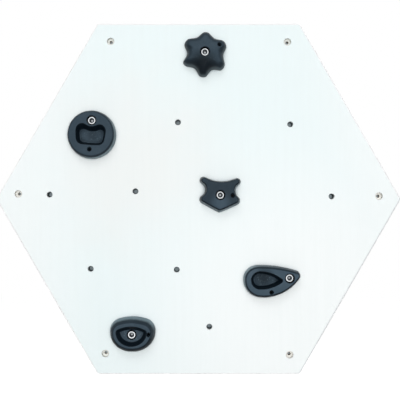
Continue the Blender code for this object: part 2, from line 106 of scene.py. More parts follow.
board_low, board_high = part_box("panel")
board_front = board_low.y
hold_back = board_front - FIT_GAP
edge_reach = board_high.z
print(f"Board {1000 * (board_high.y - board_front):.1f} mm thick, {2000 * edge_reach:.1f} mm over its flats")

# %% [markdown]
# ## Reading a hold's outline
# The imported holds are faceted, but the rims of their flat faces are exact: the foot's rim is the hold's
# outline with the holes for its bolt and its lock screw, and the rim of a pocket's floor gives the pocket.
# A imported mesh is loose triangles, so a copy is merged, all faces but those at one depth are deleted, and
# the open edges are walked round.

# %% Rims at a depth
SAME_PLACE = 0.00001


def shape_of(item):
    """An editable copy of an object's mesh."""
    shape = bmesh.new()
    shape.from_mesh(item.data)
    return shape


def rims_at(node, depth):
    """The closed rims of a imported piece's flat faces at a depth, longest first, each a list of points."""
    shape = shape_of(frame["nodes"][node])
    bmesh.ops.remove_doubles(shape, verts=shape.verts, dist=SAME_PLACE)
    away = [
        face for face in shape.faces
        if any(abs(corner.co.y - depth) > 2 * SAME_PLACE for corner in face.verts)
    ]
    bmesh.ops.delete(shape, geom=away, context="FACES")
    open_edges = {edge for edge in shape.edges if edge.is_boundary}
    rims = []
    while open_edges:
        edge = open_edges.pop()
        walk = list(edge.verts)
        while walk[-1] is not walk[0]:
            edge = next(other for other in walk[-1].link_edges if other in open_edges)
            open_edges.remove(edge)
            walk.append(edge.other_vert(walk[-1]))
        length = sum((one.co - other.co).length for one, other in zip(walk, walk[1:]))
        rims.append((length, [corner.co.copy() for corner in walk[:-1]]))
    shape.free()
    return [points for length, points in sorted(rims, key=lambda rim: -rim[0])]


def middle_of(points):
    low = Vector(map(min, zip(*points)))
    high = Vector(map(max, zip(*points)))
    return (low + high) / 2


def radius_of(points):
    middle = middle_of(points)
    return max((point - middle).length for point in points)


HOLD_NAMES = ("star", "round_pocket", "five_point", "drop_pocket", "oval_pocket")
feet = {hold: rims_at(f"hold_{hold}", hold_back) for hold in HOLD_NAMES}
print("Rims on each hold's foot:", [len(rims) for rims in feet.values()])

# %% [markdown]
# ## Small tools for node materials
# A finish is a network of nodes: some read where a point lies on the piece, some make patterns there, and
# one shader at the end turns them into a surface. One short helper feeds a node, one places any node and
# feeds it, and the others name the steps that come back often, so that a finish reads like a recipe.


# %% Place and feed nodes
def feed(tree, node, sockets):
    """Sets a node's sockets to values, or links them to what other nodes put out."""
    for socket, value in sockets.items():
        if isinstance(value, bpy.types.NodeSocket):
            tree.links.new(value, node.inputs[socket])
        else:
            node.inputs[socket].default_value = value


def put(tree, kind, sockets, output=0, **settings):
    """Places a node, feeds it and hands back one of its outputs."""
    node = tree.nodes.new(kind)
    for setting, value in settings.items():
        setattr(node, setting, value)
    feed(tree, node, sockets)
    return node.outputs[output]


def new_finish(name):
    """A material with its tree and its shader."""
    material = bpy.data.materials.new(name)
    material.use_nodes = True
    return material, material.node_tree, material.node_tree.nodes["Principled BSDF"]


# %% Numbers
def calc(tree, operation, first, second=0.0, third=0.0):
    return put(tree, "ShaderNodeMath", {0: first, 1: second, 2: third}, operation=operation)


def times(tree, first, second):
    return calc(tree, "MULTIPLY", first, second)


def greatest(tree, *values):
    best = values[0]
    for value in values[1:]:
        best = calc(tree, "MAXIMUM", best, value)
    return best


def fade(tree, value, start, end, low=0.0, high=1.0):
    """Runs smoothly from low to high while the value goes from start to end."""
    sockets = {"Value": value, "From Min": start, "From Max": end, "To Min": low, "To Max": high}
    return put(tree, "ShaderNodeMapRange", sockets, interpolation_type="SMOOTHSTEP")


# %% Colours
def mix(tree, share, first, second):
    """Mixes two colours, each a link or three numbers."""
    colours = [(*colour, 1) if isinstance(colour, tuple) else colour for colour in (first, second)]
    return put(tree, "ShaderNodeMix", {0: share, 6: colours[0], 7: colours[1]}, output=2, data_type="RGBA")


def coated(tree, colour, coat, mask, share):
    """Lays a coat over a colour where the mask is 1. The share says how well it covers."""
    return mix(tree, times(tree, mask, share), colour, coat)


# %% Places and directions
def place_on_piece(tree):
    return put(tree, "ShaderNodeTexCoord", {}, output="Object")


def parts_of(tree, vector):
    """The X, Y and Z of a vector."""
    node = tree.nodes.new("ShaderNodeSeparateXYZ")
    tree.links.new(vector, node.inputs[0])
    return node.outputs


def combine(tree, operation, first, second):
    """A vector worked out from two vectors."""
    return put(tree, "ShaderNodeVectorMath", {0: first, 1: second}, operation=operation)


def measure(tree, operation, first, second=(0, 0, 0)):
    """A number worked out from two vectors: their distance, their dot product, or the first one's length."""
    return put(tree, "ShaderNodeVectorMath", {0: first, 1: second}, output="Value", operation=operation)


def stretch(tree, where, scale, turn=(0, 0, 0), shift=(0, 0, 0)):
    sockets = {"Vector": where, "Scale": scale, "Rotation": turn, "Location": shift}
    return put(tree, "ShaderNodeMapping", sockets)


# %% Patterns
def noise(tree, where, scale, detail=3.0, roughness=0.55):
    sockets = {"Vector": where, "Scale": scale, "Detail": detail, "Roughness": roughness}
    return put(tree, "ShaderNodeTexNoise", sockets)


def bump(tree, height, depth, strength=1.0):
    """Turns a height into a tilted normal. The depth is how many metres the height stands for."""
    return put(tree, "ShaderNodeBump", {"Height": height, "Distance": depth, "Strength": strength})


# %% [markdown]
# ## Effects shared by several finishes
# Grain runs through both the bare plywood and its paint, and mottling belongs to the zinc and the plastic.
# Fine scratches are on every metal. Each is a node group, made once: a group is a recipe inside a recipe,
# and every finish that uses it can give it its own scale.


# %% A group with named sockets
def new_group(name, inputs, outputs):
    """An empty node group, with its inputs to read from and the node that takes its outputs."""
    group = bpy.data.node_groups.new(name, "ShaderNodeTree")
    for label in inputs:
        kind = "NodeSocketVector" if label == "Vector" else "NodeSocketFloat"
        group.interface.new_socket(label, in_out="INPUT", socket_type=kind)
    for label in outputs:
        group.interface.new_socket(label, in_out="OUTPUT", socket_type="NodeSocketFloat")
    return group, group.nodes.new("NodeGroupInput").outputs, group.nodes.new("NodeGroupOutput")


def use_group(tree, group, sockets):
    """Places a group, feeds it and hands back all of its outputs."""
    node = tree.nodes.new("ShaderNodeGroup")
    node.node_tree = group
    feed(tree, node, sockets)
    return node.outputs


# %% Wood grain
GRAIN_SWAY = 0.012
PORES_PER_STREAK = 5.0


def grain_group():
    """Long streaks that run up the sheet, and short dark pores between them."""
    group, given, made = new_group("wood grain", ["Vector", "Streaks per metre"], ["Streaks", "Pores"])
    swirl = put(group, "ShaderNodeTexNoise", {"Vector": given["Vector"], "Scale": 5.0}, output="Color")
    sway = combine(group, "MULTIPLY", swirl, (GRAIN_SWAY, 0, 0))
    bent = combine(group, "ADD", given["Vector"], sway)
    long_way = stretch(group, bent, (1, 1, 0.03))
    streaks = noise(group, long_way, given["Streaks per metre"], detail=5.0, roughness=0.65)
    short_way = stretch(group, bent, (1, 1, 0.06))
    pores = noise(group, short_way, times(group, given["Streaks per metre"], PORES_PER_STREAK))
    feed(group, made, {"Streaks": fade(group, streaks, 0.32, 0.68), "Pores": fade(group, pores, 0.58, 0.70)})
    return group


wood_grain = grain_group()


# %% Mottling and scratches
SCRATCH_TURNS = (0.4, 2.1)


def mottle_group():
    """Soft patches, as on plated or moulded surfaces that were never polished."""
    group, given, made = new_group("mottling", ["Vector", "Patches per metre"], ["Patches"])
    patches = noise(group, given["Vector"], given["Patches per metre"], detail=4.0, roughness=0.6)
    feed(group, made, {"Patches": fade(group, patches, 0.3, 0.7)})
    return group


def scratch_group():
    """Hairlines in two crossing directions, from tools and handling."""
    group, given, made = new_group("fine scratches", ["Vector", "Lines per metre"], ["Scratches"])
    lines = []
    for turn in SCRATCH_TURNS:
        run = stretch(group, given["Vector"], (1, 0.04, 0.04), turn=(0, turn, 0))
        lines.append(fade(group, noise(group, run, given["Lines per metre"], detail=2.0), 0.64, 0.70))
    feed(group, made, {"Scratches": greatest(group, *lines)})
    return group


mottling = mottle_group()
fine_scratches = scratch_group()
print("Shared effects:", ", ".join(group.name for group in (wood_grain, mottling, fine_scratches)))

# %% [markdown]
# ## White paint on plywood
# The board is birch plywood. Its front and its rim have thin satin paint through which the grain still
# shows as faint upright lines, and some spray has settled in the counterbores. Deeper in the holes and on
# the back the wood is bare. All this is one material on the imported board: it works out from a point's place
# whether paint reaches it, which costs no extra shapes and leaves the board as exact as it was packed.

# %% Where the paint is
PAINT_OVER_RIM = 0.0008
PAINTED_RIM = 0.0028
PAINT_END = 0.0002
PAINT_WAVER = 0.0006
WAVES_PER_METRE = 260.0
SPRAY_REACH = 0.0100
SPRAY_END = 0.0006
SPRAY_COVER = 0.82
BARE_BACK = 0.0008


def behind_front(tree, depth, start, end, low=0.0, high=1.0):
    """Fades between two distances behind the board's front."""
    return fade(tree, depth, board_front + start, board_front + end, low, high)


def inside_edge(tree, out, start, end, low=0.0, high=1.0):
    """Fades between two distances inside an outer edge."""
    return fade(tree, out, edge_reach - start, edge_reach - end, low, high)


def edge_distances(tree, across, up):
    """How far out a place lies towards the nearest edge of the hexagon, and towards its lower right edge."""
    half = times(tree, up, 0.5)
    side = times(tree, across, math.cos(math.radians(30)))
    rising, falling = calc(tree, "ADD", side, half), calc(tree, "SUBTRACT", side, half)
    reaches = [calc(tree, "ABSOLUTE", reach) for reach in (up, rising, falling)]
    return greatest(tree, *reaches), falling


def paint_mask(tree, where, depth, out):
    """1 where the board is painted: on its front, just over the rims of its holes, and round its edge."""
    waver = calc(tree, "MULTIPLY_ADD", noise(tree, where, WAVES_PER_METRE), 2 * PAINT_WAVER, -PAINT_WAVER)
    level = calc(tree, "ADD", depth, waver)
    front = behind_front(tree, level, PAINT_OVER_RIM, PAINT_OVER_RIM - PAINT_END)
    sprayed = behind_front(tree, level, SPRAY_REACH, SPRAY_REACH - SPRAY_END, 0.0, SPRAY_COVER)
    rim = inside_edge(tree, out, PAINTED_RIM + PAINT_END, PAINTED_RIM)
    before_back = fade(tree, level, -BARE_BACK, -BARE_BACK - 2 * PAINT_END)
    return greatest(tree, front, sprayed, times(tree, rim, before_back))


# %% Bare wood
BIRCH_PALE = (0.640, 0.490, 0.335)
BIRCH_DARK = (0.470, 0.315, 0.185)
BIRCH_PORE = (0.250, 0.150, 0.080)
HOLE_SHADE_GREY = (0.260, 0.255, 0.245)
PLY_THICKNESS = 0.0014
OUTER_PLY = 0.0004
OUTER_PLY_END = 0.0012


def plies(tree, depth):
    """1 between the two outer plies, and 1 on every second ply, which turns its darker end grain outward."""
    before_back = fade(tree, depth, -OUTER_PLY, -OUTER_PLY_END)
    in_the_sheet = times(tree, before_back, behind_front(tree, depth, OUTER_PLY, OUTER_PLY_END))
    ply = calc(tree, "PINGPONG", depth, PLY_THICKNESS)
    dark_ply = fade(tree, ply, 0.45 * PLY_THICKNESS, 0.55 * PLY_THICKNESS)
    return in_the_sheet, times(tree, dark_ply, in_the_sheet)


def bare_wood(tree, grain, layered, in_a_hole):
    """Birch with streaks and pores, darker on every second ply, and with grey painted shade in the holes."""
    wood = coated(tree, BIRCH_PALE, BIRCH_DARK, grain["Streaks"], 0.55)
    wood = coated(tree, wood, BIRCH_PORE, grain["Pores"], 0.35)
    wood = coated(tree, wood, BIRCH_DARK, layered, 0.55)
    # Painted shade: the bare wood in the holes is mixed with grey, darker than the wood itself.
    return coated(tree, wood, HOLE_SHADE_GREY, in_a_hole, 0.6)


# %% [markdown]
# The white isn't even. It is cool, with a warmer cloud left of the middle, and thinner where the grain stands
# up. Painted light makes it lighter towards the lower right and the sides. Painted shade darkens it in the
# holes, round each hold, where the ambient occlusion node tells how near a hold stands, and along the lower
# right edge, and a black painted shade lies behind the holes of the lock screws. The other outer edges get
# painted light.

# %% The paint's white
PAINT_COOL = (0.868, 0.958, 0.965)
PAINT_WARM = (0.895, 0.928, 0.920)
PAINT_LIT = (0.960, 0.998, 0.998)
PAINT_THIN = (0.800, 0.860, 0.850)
CLOUD_SCALE = (3.6, 0, 3.9)
CLOUD_SHIFT = (0.50, 0, -0.30)
CLOUD_RAGGEDNESS = 0.7
CLOUD_EDGE = (1.35, 0.45)
LIT_PLACE = (0.22, 0, -0.24)
LIT_REACH = 0.46
LIT_CORE = 0.10
LIT_SIDES = (0.16, 0.38)


def white_paint(tree, where, across, grain, layered):
    cloud = measure(tree, "LENGTH", stretch(tree, where, CLOUD_SCALE, shift=CLOUD_SHIFT))
    ragged = calc(tree, "ADD", cloud, times(tree, noise(tree, where, 9.0), CLOUD_RAGGEDNESS))
    paint = mix(tree, fade(tree, ragged, *CLOUD_EDGE), PAINT_COOL, PAINT_WARM)
    # Painted light: the white is lighter near the lower right and towards the sides.
    low_right = fade(tree, measure(tree, "DISTANCE", where, LIT_PLACE), LIT_REACH, LIT_CORE)
    sideways = fade(tree, calc(tree, "ABSOLUTE", across), *LIT_SIDES, 0.0, 0.75)
    paint = mix(tree, greatest(tree, low_right, sideways), paint, PAINT_LIT)
    for mask in (grain["Streaks"], grain["Pores"], layered):
        paint = coated(tree, paint, PAINT_THIN, mask, 0.10)
    return paint


# %% Painted light and shade on the paint
PAINT_SHADE = (0.560, 0.600, 0.610)
PAINT_EDGE_LIT = (0.985, 0.995, 0.995)
LOCK_HOLE_SHADE = (0.012, 0.012, 0.012)
HOLE_PAINT_SHADE = (0.660, 0.655, 0.625)
DUST_REFLECTION_AND_SHADE = (0.200, 0.280, 0.320)
SHADE_REACH = 0.014
FRONT_SKIN = (0.0006, 0.0002)
HOLE_SHADE_DEPTHS = (0.0010, 0.0016)
LIT_EDGE = (0.0030, 0.0018)
SHADED_EDGE = (0.0040, 0.0020)
LOCK_SHADE_RADIUS = 0.0030
LOCK_SHADE_END = 0.0036


def marked_paint(tree, paint, where, depth, in_the_sheet, out, low_right_out):
    """Adds painted shade in holes, round holds, on one edge and behind lock holes, and painted light on the
    other edges.
    """
    # Painted shade: deeper than a millimetre into the holes the paint is greyer and darker.
    paint = coated(tree, paint, HOLE_PAINT_SHADE, in_the_sheet, behind_front(tree, depth, *HOLE_SHADE_DEPTHS, 0.0, 0.4))
    # Painted shade: the paint darkens round each hold and turns dark blue-grey at the hold's foot.
    near = put(tree, "ShaderNodeAmbientOcclusion", {"Distance": SHADE_REACH}, output="AO", samples=8)
    on_front = behind_front(tree, depth, *FRONT_SKIN)
    paint = coated(tree, paint, PAINT_SHADE, on_front, fade(tree, near, 1.0, 0.4, 0.0, 0.25))
    paint = coated(tree, paint, DUST_REFLECTION_AND_SHADE, on_front, fade(tree, near, 0.64, 0.50, 0.0, 0.40))
    # Painted light along the outer edges, and painted shade along the lower right edge.
    paint = mix(tree, inside_edge(tree, out, *LIT_EDGE), paint, PAINT_EDGE_LIT)
    paint = mix(tree, inside_edge(tree, low_right_out, *SHADED_EDGE, 0.0, 0.45), paint, PAINT_SHADE)
    # Painted shade: a black disc behind each lock screw's hole, seen through the hole.
    nearest_lock = 1.0
    for foot, bore, lock in feet.values():
        nearest_lock = calc(tree, "MINIMUM", nearest_lock, measure(tree, "DISTANCE", where, middle_of(lock)))
    return mix(tree, fade(tree, nearest_lock, LOCK_SHADE_END, LOCK_SHADE_RADIUS), paint, LOCK_HOLE_SHADE)


# %% The board's finish
def board_finish():
    material, tree, shader = new_finish("white satin paint on birch plywood")
    where = place_on_piece(tree)
    across, depth, up = parts_of(tree, where)
    out, low_right_out = edge_distances(tree, across, up)
    painted = paint_mask(tree, where, depth, out)
    in_the_sheet, layered = plies(tree, depth)
    in_a_hole = times(tree, in_the_sheet, fade(tree, painted, 0.5, 0.0))
    grain = use_group(tree, wood_grain, {"Vector": where, "Streaks per metre": 110.0})
    wood = bare_wood(tree, grain, layered, in_a_hole)
    paint = white_paint(tree, where, across, grain, layered)
    paint = marked_paint(tree, paint, where, depth, in_the_sheet, out, low_right_out)

    grain_height = calc(tree, "ADD", grain["Streaks"], times(tree, grain["Pores"], -0.6))
    roller = noise(tree, where, 420.0, detail=2.0)
    height = calc(tree, "ADD", times(tree, grain_height, 0.6), times(tree, roller, 0.4))
    feed(tree, shader, {
        "Base Color": mix(tree, painted, wood, paint),
        "Roughness": calc(tree, "ADD", fade(tree, painted, 0, 1, 0.78, 0.46), times(tree, roller, 0.08)),
        "Specular IOR Level": 0.35,
        "Normal": bump(tree, height, 0.00012, 0.6),
    })
    return material


board_material = board_finish()
frame["nodes"]["panel"].material_slots[0].material = board_material
print("Board finish:", len(board_material.node_tree.nodes), "nodes")

# %% [markdown]
# ## Moulded plastic
# The holds are charcoal plastic with a slight blue cast. Their moulds were sandblasted, so the surface is
# matt with a fine grit, and tiny lighter specks on it are painted glints. Handling polishes it in soft
# patches, and each hold has its own tone, and a spot of painted light or shade, lighter or darker than the
# rest. So one function makes all five finishes, and a table gives it what differs: the tone, where the spot
# lies from the bolt, across and up, how far it reaches and how much lighter or darker it is there. The rest
# of the table is painted shade and a painted reflection: how much shade darkens the edges, the outer walls
# and the undersides, and how much a reflection lightens the outer walls, and on which side.

# %% The holds' own colours
PLASTIC = (0.0305, 0.0475, 0.0630)
PLASTIC_WORN = (0.0385, 0.0575, 0.0750)
PLASTIC_GLINT = (0.110, 0.140, 0.160)
PLASTIC_SHADE = (0.0018, 0.0052, 0.0090)
LOOKS = {
    "star": {
        "tone": 1.19, "spot": (-0.003, -0.026), "reach": 0.038, "there": 0.18,
        "edges": 0.40, "walls": 0.85, "wall_reflection": 0.24, "reflecting_side": (0.2, 0, -1.0), "underside": 0.45,
    },
    "round_pocket": {
        "tone": 1.18, "spot": (0, -0.028), "reach": 0.016, "there": 0.70,
        "edges": 0.40, "walls": 0.20, "wall_reflection": 0.85, "reflecting_side": (0.8, 0, -0.6), "underside": 0.40,
    },
    "five_point": {
        "tone": 0.78, "spot": (0, -0.016), "reach": 0.026, "there": 2.05,
        "edges": 0.55, "walls": 0.60, "wall_reflection": 0.60, "reflecting_side": (0.2, 0, -1.0), "underside": 0.92,
    },
    "drop_pocket": {
        "tone": 1.66, "spot": (-0.050, 0), "reach": 0.026, "there": 0.31,
        "edges": 0.70, "walls": 0.40, "wall_reflection": 0.90, "reflecting_side": (-1.0, 0, 0.20), "underside": 0.80,
    },
    "oval_pocket": {
        "tone": 1.30, "spot": (0, 0.038), "reach": 0.020, "there": 1.27,
        "edges": 0.60, "walls": 0.50, "wall_reflection": 0.85, "reflecting_side": (-0.1, 0, 1.0), "underside": 0.92,
    },
}


def toned(colour, tone):
    """A colour made lighter or darker."""
    return tuple(tone * part for part in colour)


def plastic_colour(tree, look, where, flat, patches, bolt_axis):
    """Plastic with a spot of painted light or shade, measured across the face and not into the wall."""
    # Painted light or shade: the plastic is lighter or darker round one spot.
    spot = (bolt_axis.x + look["spot"][0], 0, bolt_axis.z + look["spot"][1])
    at_spot = fade(tree, measure(tree, "DISTANCE", flat, spot), look["reach"], 0.2 * look["reach"])
    tones = (look["tone"], look["tone"] * look["there"])
    usual, there = [mix(tree, patches, toned(PLASTIC, tone), toned(PLASTIC_WORN, tone)) for tone in tones]
    # Painted glints: tiny lighter specks of the grit.
    glints = fade(tree, noise(tree, where, 900.0, detail=1.0), 0.68, 0.75)
    return coated(tree, mix(tree, at_spot, usual, there), PLASTIC_GLINT, glints, 0.5)


# %% [markdown]
# Painted shade darkens the edges, the walls, the undersides and the hollows. A painted reflection lightens
# one side of the outer walls, and crumbs of chalk dust lie on the pockets' floors. What a place is can be
# told from its normal: its Y is -1 where it faces the climber, and about 0 on a steep wall. A wall faces
# away from the middle on the outside of a hold and towards it in a pocket.

# %% The holds' finish
HOLLOW_REACH = 0.015
WALL_FADE = (0.002, 0.008)
POCKET_WALL_FADE = (0, -0.004)
UNDERSIDE_FADE = (0.001, 0.004)
CRUMBS_ABOVE_FLOOR = (0.0006, 0.0001)


def plastic_finish(hold, bolt_axis, middle, floor):
    """Charcoal plastic for a hold. Crumbs lie from the floor's depth on, which only the pockets reach."""
    look = LOOKS[hold]
    material, tree, shader = new_finish(f"charcoal plastic {hold}")
    where = place_on_piece(tree)
    flat = stretch(tree, where, (1, 0, 1))
    patches = use_group(tree, mottling, {"Vector": where, "Patches per metre": 38.0})["Patches"]
    colour = plastic_colour(tree, look, where, flat, patches, bolt_axis)

    # How steep a place stands, and how far it faces away from the middle
    normal = put(tree, "ShaderNodeTexCoord", {}, output="Normal")
    turned = parts_of(tree, normal)
    steep = fade(tree, turned["Y"], -0.50, -0.20)
    leaning = fade(tree, turned["Y"], -0.94, -0.70)
    edge = times(tree, fade(tree, turned["Y"], -0.95, -0.80), fade(tree, steep, 0.9, 0.1))
    outward = measure(tree, "DOT_PRODUCT", combine(tree, "SUBTRACT", flat, (middle.x, 0, middle.z)), normal)
    outer_wall = times(tree, steep, fade(tree, outward, *WALL_FADE))
    inner_wall = times(tree, leaning, fade(tree, outward, *POCKET_WALL_FADE, 0.0, 0.92))
    facing_down = fade(tree, turned["Z"], -0.06, -0.34, 0.0, look["underside"])

    # Where the painted reflection lies, where crumbs lie, and how open a place is to the room, for painted
    # shade
    # Painted reflection: the outer walls that face one side are made lighter.
    reflecting_side = measure(tree, "DOT_PRODUCT", normal, look["reflecting_side"])
    wall_reflection = times(tree, outer_wall, fade(tree, reflecting_side, -0.1, 0.7, 0.0, look["wall_reflection"]))
    crumbs = fade(tree, noise(tree, where, 330.0, detail=1.0), 0.60, 0.68, 0.0, 0.20)
    on_floor = fade(tree, parts_of(tree, where)["Y"], *(floor - above for above in CRUMBS_ABOVE_FLOOR))
    reach = {"Distance": HOLLOW_REACH}
    openness = put(tree, "ShaderNodeAmbientOcclusion", reach, output="AO", samples=8, only_local=True)
    # Painted shade: the hollows and the pocket walls are darkened towards the darkest plastic.
    hollow_shade = greatest(tree, inner_wall, fade(tree, openness, 0.90, 0.50))

    # Painted shade on the edges, the outer walls and the undersides, a painted reflection on one side of the
    # outer walls, and chalk crumbs on the pockets' floors.
    coats = (
        (PLASTIC_SHADE, edge, look["edges"]),
        (PLASTIC_SHADE, outer_wall, look["walls"]),
        (PLASTIC_SHADE, facing_down, fade(tree, outward, *UNDERSIDE_FADE)),
        (DUST_REFLECTION_AND_SHADE, wall_reflection, fade(tree, patches, 0, 1, 0.75, 1)),
        (DUST_REFLECTION_AND_SHADE, crumbs, on_floor),
    )
    for coat, mask, share in coats:
        colour = coated(tree, colour, coat, mask, share)
    grit = noise(tree, where, 1400.0, detail=2.0)
    dimples = noise(tree, where, 340.0, detail=2.0)
    feed(tree, shader, {
        "Base Color": mix(tree, hollow_shade, colour, PLASTIC_SHADE),
        "Roughness": fade(tree, patches, 0, 1, 0.42, 0.36),
        "Specular IOR Level": 0.08,
        "Normal": bump(tree, calc(tree, "ADD", times(tree, grit, 0.5), dimples), 0.00015, 0.4),
    })
    return material


# %% [markdown]
# ## Zinc
# Bolts are bright zinc: pale, slightly blue and evenly shiny. The washers and tee nuts are stamped and
# plated in bulk, so they are duller and more mottled, with hairline scratches. All are metals, whose colour
# is the colour of their reflections. Painted shade darkens a bolt's socket, the rim round its head and its
# shank, and the bores and threads of the tee nuts: faces marked with painted shade are dark there. The
# washers are painted as dark as that all over, as shade in the bolts' recesses.

# %% Three zinc finishes
SHADE_DARK_STEEL = (0.035, 0.040, 0.045)


def zinc_finish(name, bright, dark, smooth, rough):
    material, tree, shader = new_finish(name)
    where = place_on_piece(tree)
    patches = use_group(tree, mottling, {"Vector": where, "Patches per metre": 320.0})["Patches"]
    scratches = use_group(tree, fine_scratches, {"Vector": where, "Lines per metre": 1600.0})["Scratches"]
    colour = coated(tree, mix(tree, patches, bright, dark), dark, scratches, 0.4)
    # Painted shade: faces marked with it take a dark steel colour.
    shade_mark = put(tree, "ShaderNodeAttribute", {}, output="Fac", attribute_name="shade_mark")
    roughness = fade(tree, patches, 0, 1, smooth, rough)
    height = calc(tree, "SUBTRACT", times(tree, patches, 0.5), scratches)
    feed(tree, shader, {
        "Base Color": mix(tree, shade_mark, colour, SHADE_DARK_STEEL),
        "Metallic": 1.0,
        "Roughness": calc(tree, "ADD", roughness, times(tree, scratches, 0.12)),
        "Normal": bump(tree, height, 0.00002, 0.5),
    })
    return material


bright_zinc = zinc_finish("bright zinc", (0.94, 0.97, 0.99), (0.82, 0.87, 0.90), 0.24, 0.34)
dull_zinc = zinc_finish("dull zinc", (0.47, 0.54, 0.57), (0.31, 0.37, 0.40), 0.38, 0.52)
# Painted shade: the washers are dark all over, as they would be in the bolts' recesses.
shade_dark_zinc = zinc_finish("zinc painted dark for shade", (0.060, 0.068, 0.075), (0.030, 0.036, 0.042), 0.50, 0.65)
print("Metal finishes:", ", ".join(metal.name for metal in (bright_zinc, dull_zinc, shade_dark_zinc)))

# %% [markdown]
# ## Small tools for shapes
# Most pieces here are round, so they are spun: a profile of points, each a radius and a depth, is turned
# about a line that runs straight into the wall. The other tools turn a shape into an object, cut one object
# with another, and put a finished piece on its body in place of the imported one.

# %% Spin and turn
ROUND_STEPS = 64
QUARTER_TURN = math.radians(90)
INTO_WALL = (0, 1, 0)


def spun(profile, across, up, steps=ROUND_STEPS, closed=False):
    """A shape turned about the line through (across, up) that runs straight into the wall."""
    shape = bmesh.new()
    corners = [shape.verts.new((across + radius, depth, up)) for radius, depth in profile]
    if closed:
        corners.append(corners[0])
    edges = [shape.edges.new(pair) for pair in zip(corners, corners[1:])]
    bmesh.ops.spin(
        shape, geom=shape.verts[:] + edges, cent=(across, 0, up), axis=INTO_WALL, angle=math.tau, steps=steps,
        use_merge=True,
    )
    bmesh.ops.remove_doubles(shape, verts=shape.verts, dist=0.2 * SAME_PLACE)
    bmesh.ops.recalc_face_normals(shape, faces=shape.faces)
    return shape


def turn_about_origin(shape, corners, angle, axis):
    bmesh.ops.rotate(shape, verts=corners, cent=(0, 0, 0), matrix=Matrix.Rotation(angle, 3, axis))


# %% From a shape to an object, and back
def into_scene(name, data):
    """Places a mesh, a lamp or a camera in the scene as an object."""
    item = bpy.data.objects.new(name, data)
    bpy.context.scene.collection.objects.link(item)
    return item


def to_object(name, shape):
    mesh = bpy.data.meshes.new(name)
    shape.to_mesh(mesh)
    shape.free()
    return into_scene(name, mesh)


def write_back(shape, item):
    shape.to_mesh(item.data)
    shape.free()


def settle(item):
    """Applies an object's modifiers."""
    bpy.context.view_layer.update()
    graph = bpy.context.evaluated_depsgraph_get()
    mesh = bpy.data.meshes.new_from_object(item.evaluated_get(graph))
    item.modifiers.clear()
    item.data = mesh
    return item


# %% Cut and mount
SHARP_ANGLE = math.radians(38)


def cut(item, shapes):
    """Cuts an object with shapes, one after the other."""
    for shape in shapes:
        cutter = to_object("cutter", shape)
        modifier = item.modifiers.new("cut", "BOOLEAN")
        modifier.operation = "DIFFERENCE"
        modifier.solver = "EXACT"
        modifier.object = cutter
        settle(item)
        bpy.data.objects.remove(cutter)


def mount(item, material, body, node):
    """Finishes a piece: its shading, its material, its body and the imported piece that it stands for."""
    item.data.shade_smooth()
    item.data.set_sharp_from_angle(angle=SHARP_ANGLE)
    item.data.materials.clear()
    item.data.materials.append(material)
    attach(item, body)
    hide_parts(node)
    return item


def axis_of(node):
    """Where a round piece's axis crosses the board: across and up."""
    low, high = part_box(node)
    return (low.x + high.x) / 2, (low.z + high.z) / 2


def add_shade_marks(shape, across, up, share):
    """Marks how much painted shade each face has, worked out from how far its middle lies from an axis, and
    how deep.
    """
    mark = shape.faces.layers.float.new("shade_mark")
    for face in shape.faces:
        middle = face.calc_center_median()
        face[mark] = share(math.hypot(middle.x - across, middle.z - up), middle.y)


# %% [markdown]
# ## Shaping a hold
# A hold is a stack of sections, from its foot to its top. Each section is the outline of the foot, drawn in
# evenly all round and then scaled a little about the hold's crown. Bridging the sections gives a cage, and
# a subdivision surface rounds it. Such a surface shrinks away from its cage where that bends, so the cage
# is first swelled until the surface passes through the outline again.

# %% Sections: share of the height, size, and how far drawn in as a share of the height
FOOT = ((-0.15, 1, 0), (0, 1, 0))
STAR = FOOT + (
    (0.25, 1, 0.01), (0.45, 0.99, 0.03), (0.63, 0.96, 0.055), (0.78, 0.91, 0.08), (0.89, 0.82, 0.10),
    (0.965, 0.68, 0.12), (1, 0.52, 0.13),
)
FLAT = FOOT + ((0.60, 1, 0.03), (0.80, 1, 0.08), (0.92, 1, 0.15), (0.98, 1, 0.215), (1, 1, 0.28))
FIVE_POINT = FOOT + (
    (0.08, 1, 0), (0.60, 0.97, 0.03), (0.84, 0.958, 0.065), (0.95, 0.952, 0.105), (1, 0.948, 0.16),
)
OVAL = FOOT + (
    (0.42, 1, 0.04), (0.64, 1, 0.10), (0.80, 1, 0.175), (0.91, 1, 0.255), (0.975, 1, 0.335), (1, 1, 0.40),
)
POCKET = (
    (-0.25, 1, -0.12), (0, 1, -0.04), (0.10, 1, 0.02), (0.45, 0.98, 0.05), (0.78, 0.955, 0.10),
    (0.94, 0.93, 0.15), (1, 0.90, 0.20),
)
print("Sections in a hold's body:", [len(sections) for sections in (STAR, FLAT, FIVE_POINT, OVAL)])


# %% Change an outline
def facing(points):
    """The direction that faces straight out of a closed outline at each of its points."""
    pairs = list(zip(points, points[1:] + points[:1]))
    turn = math.copysign(1, sum(one.x * other.z - other.x * one.z for one, other in pairs))
    sides = [turn * Vector((other.z - one.z, 0, one.x - other.x)).normalized() for one, other in pairs]
    return [(before + after).normalized() for before, after in zip(sides[-1:] + sides[:-1], sides)]


def bulged(points, place, reach, push):
    """Pushes an outline outwards near a place."""
    shares = [max(0, 1 - ((point - place).length / reach) ** 2) for point in points]
    return [point + push * share * out for point, share, out in zip(points, shares, facing(points))]


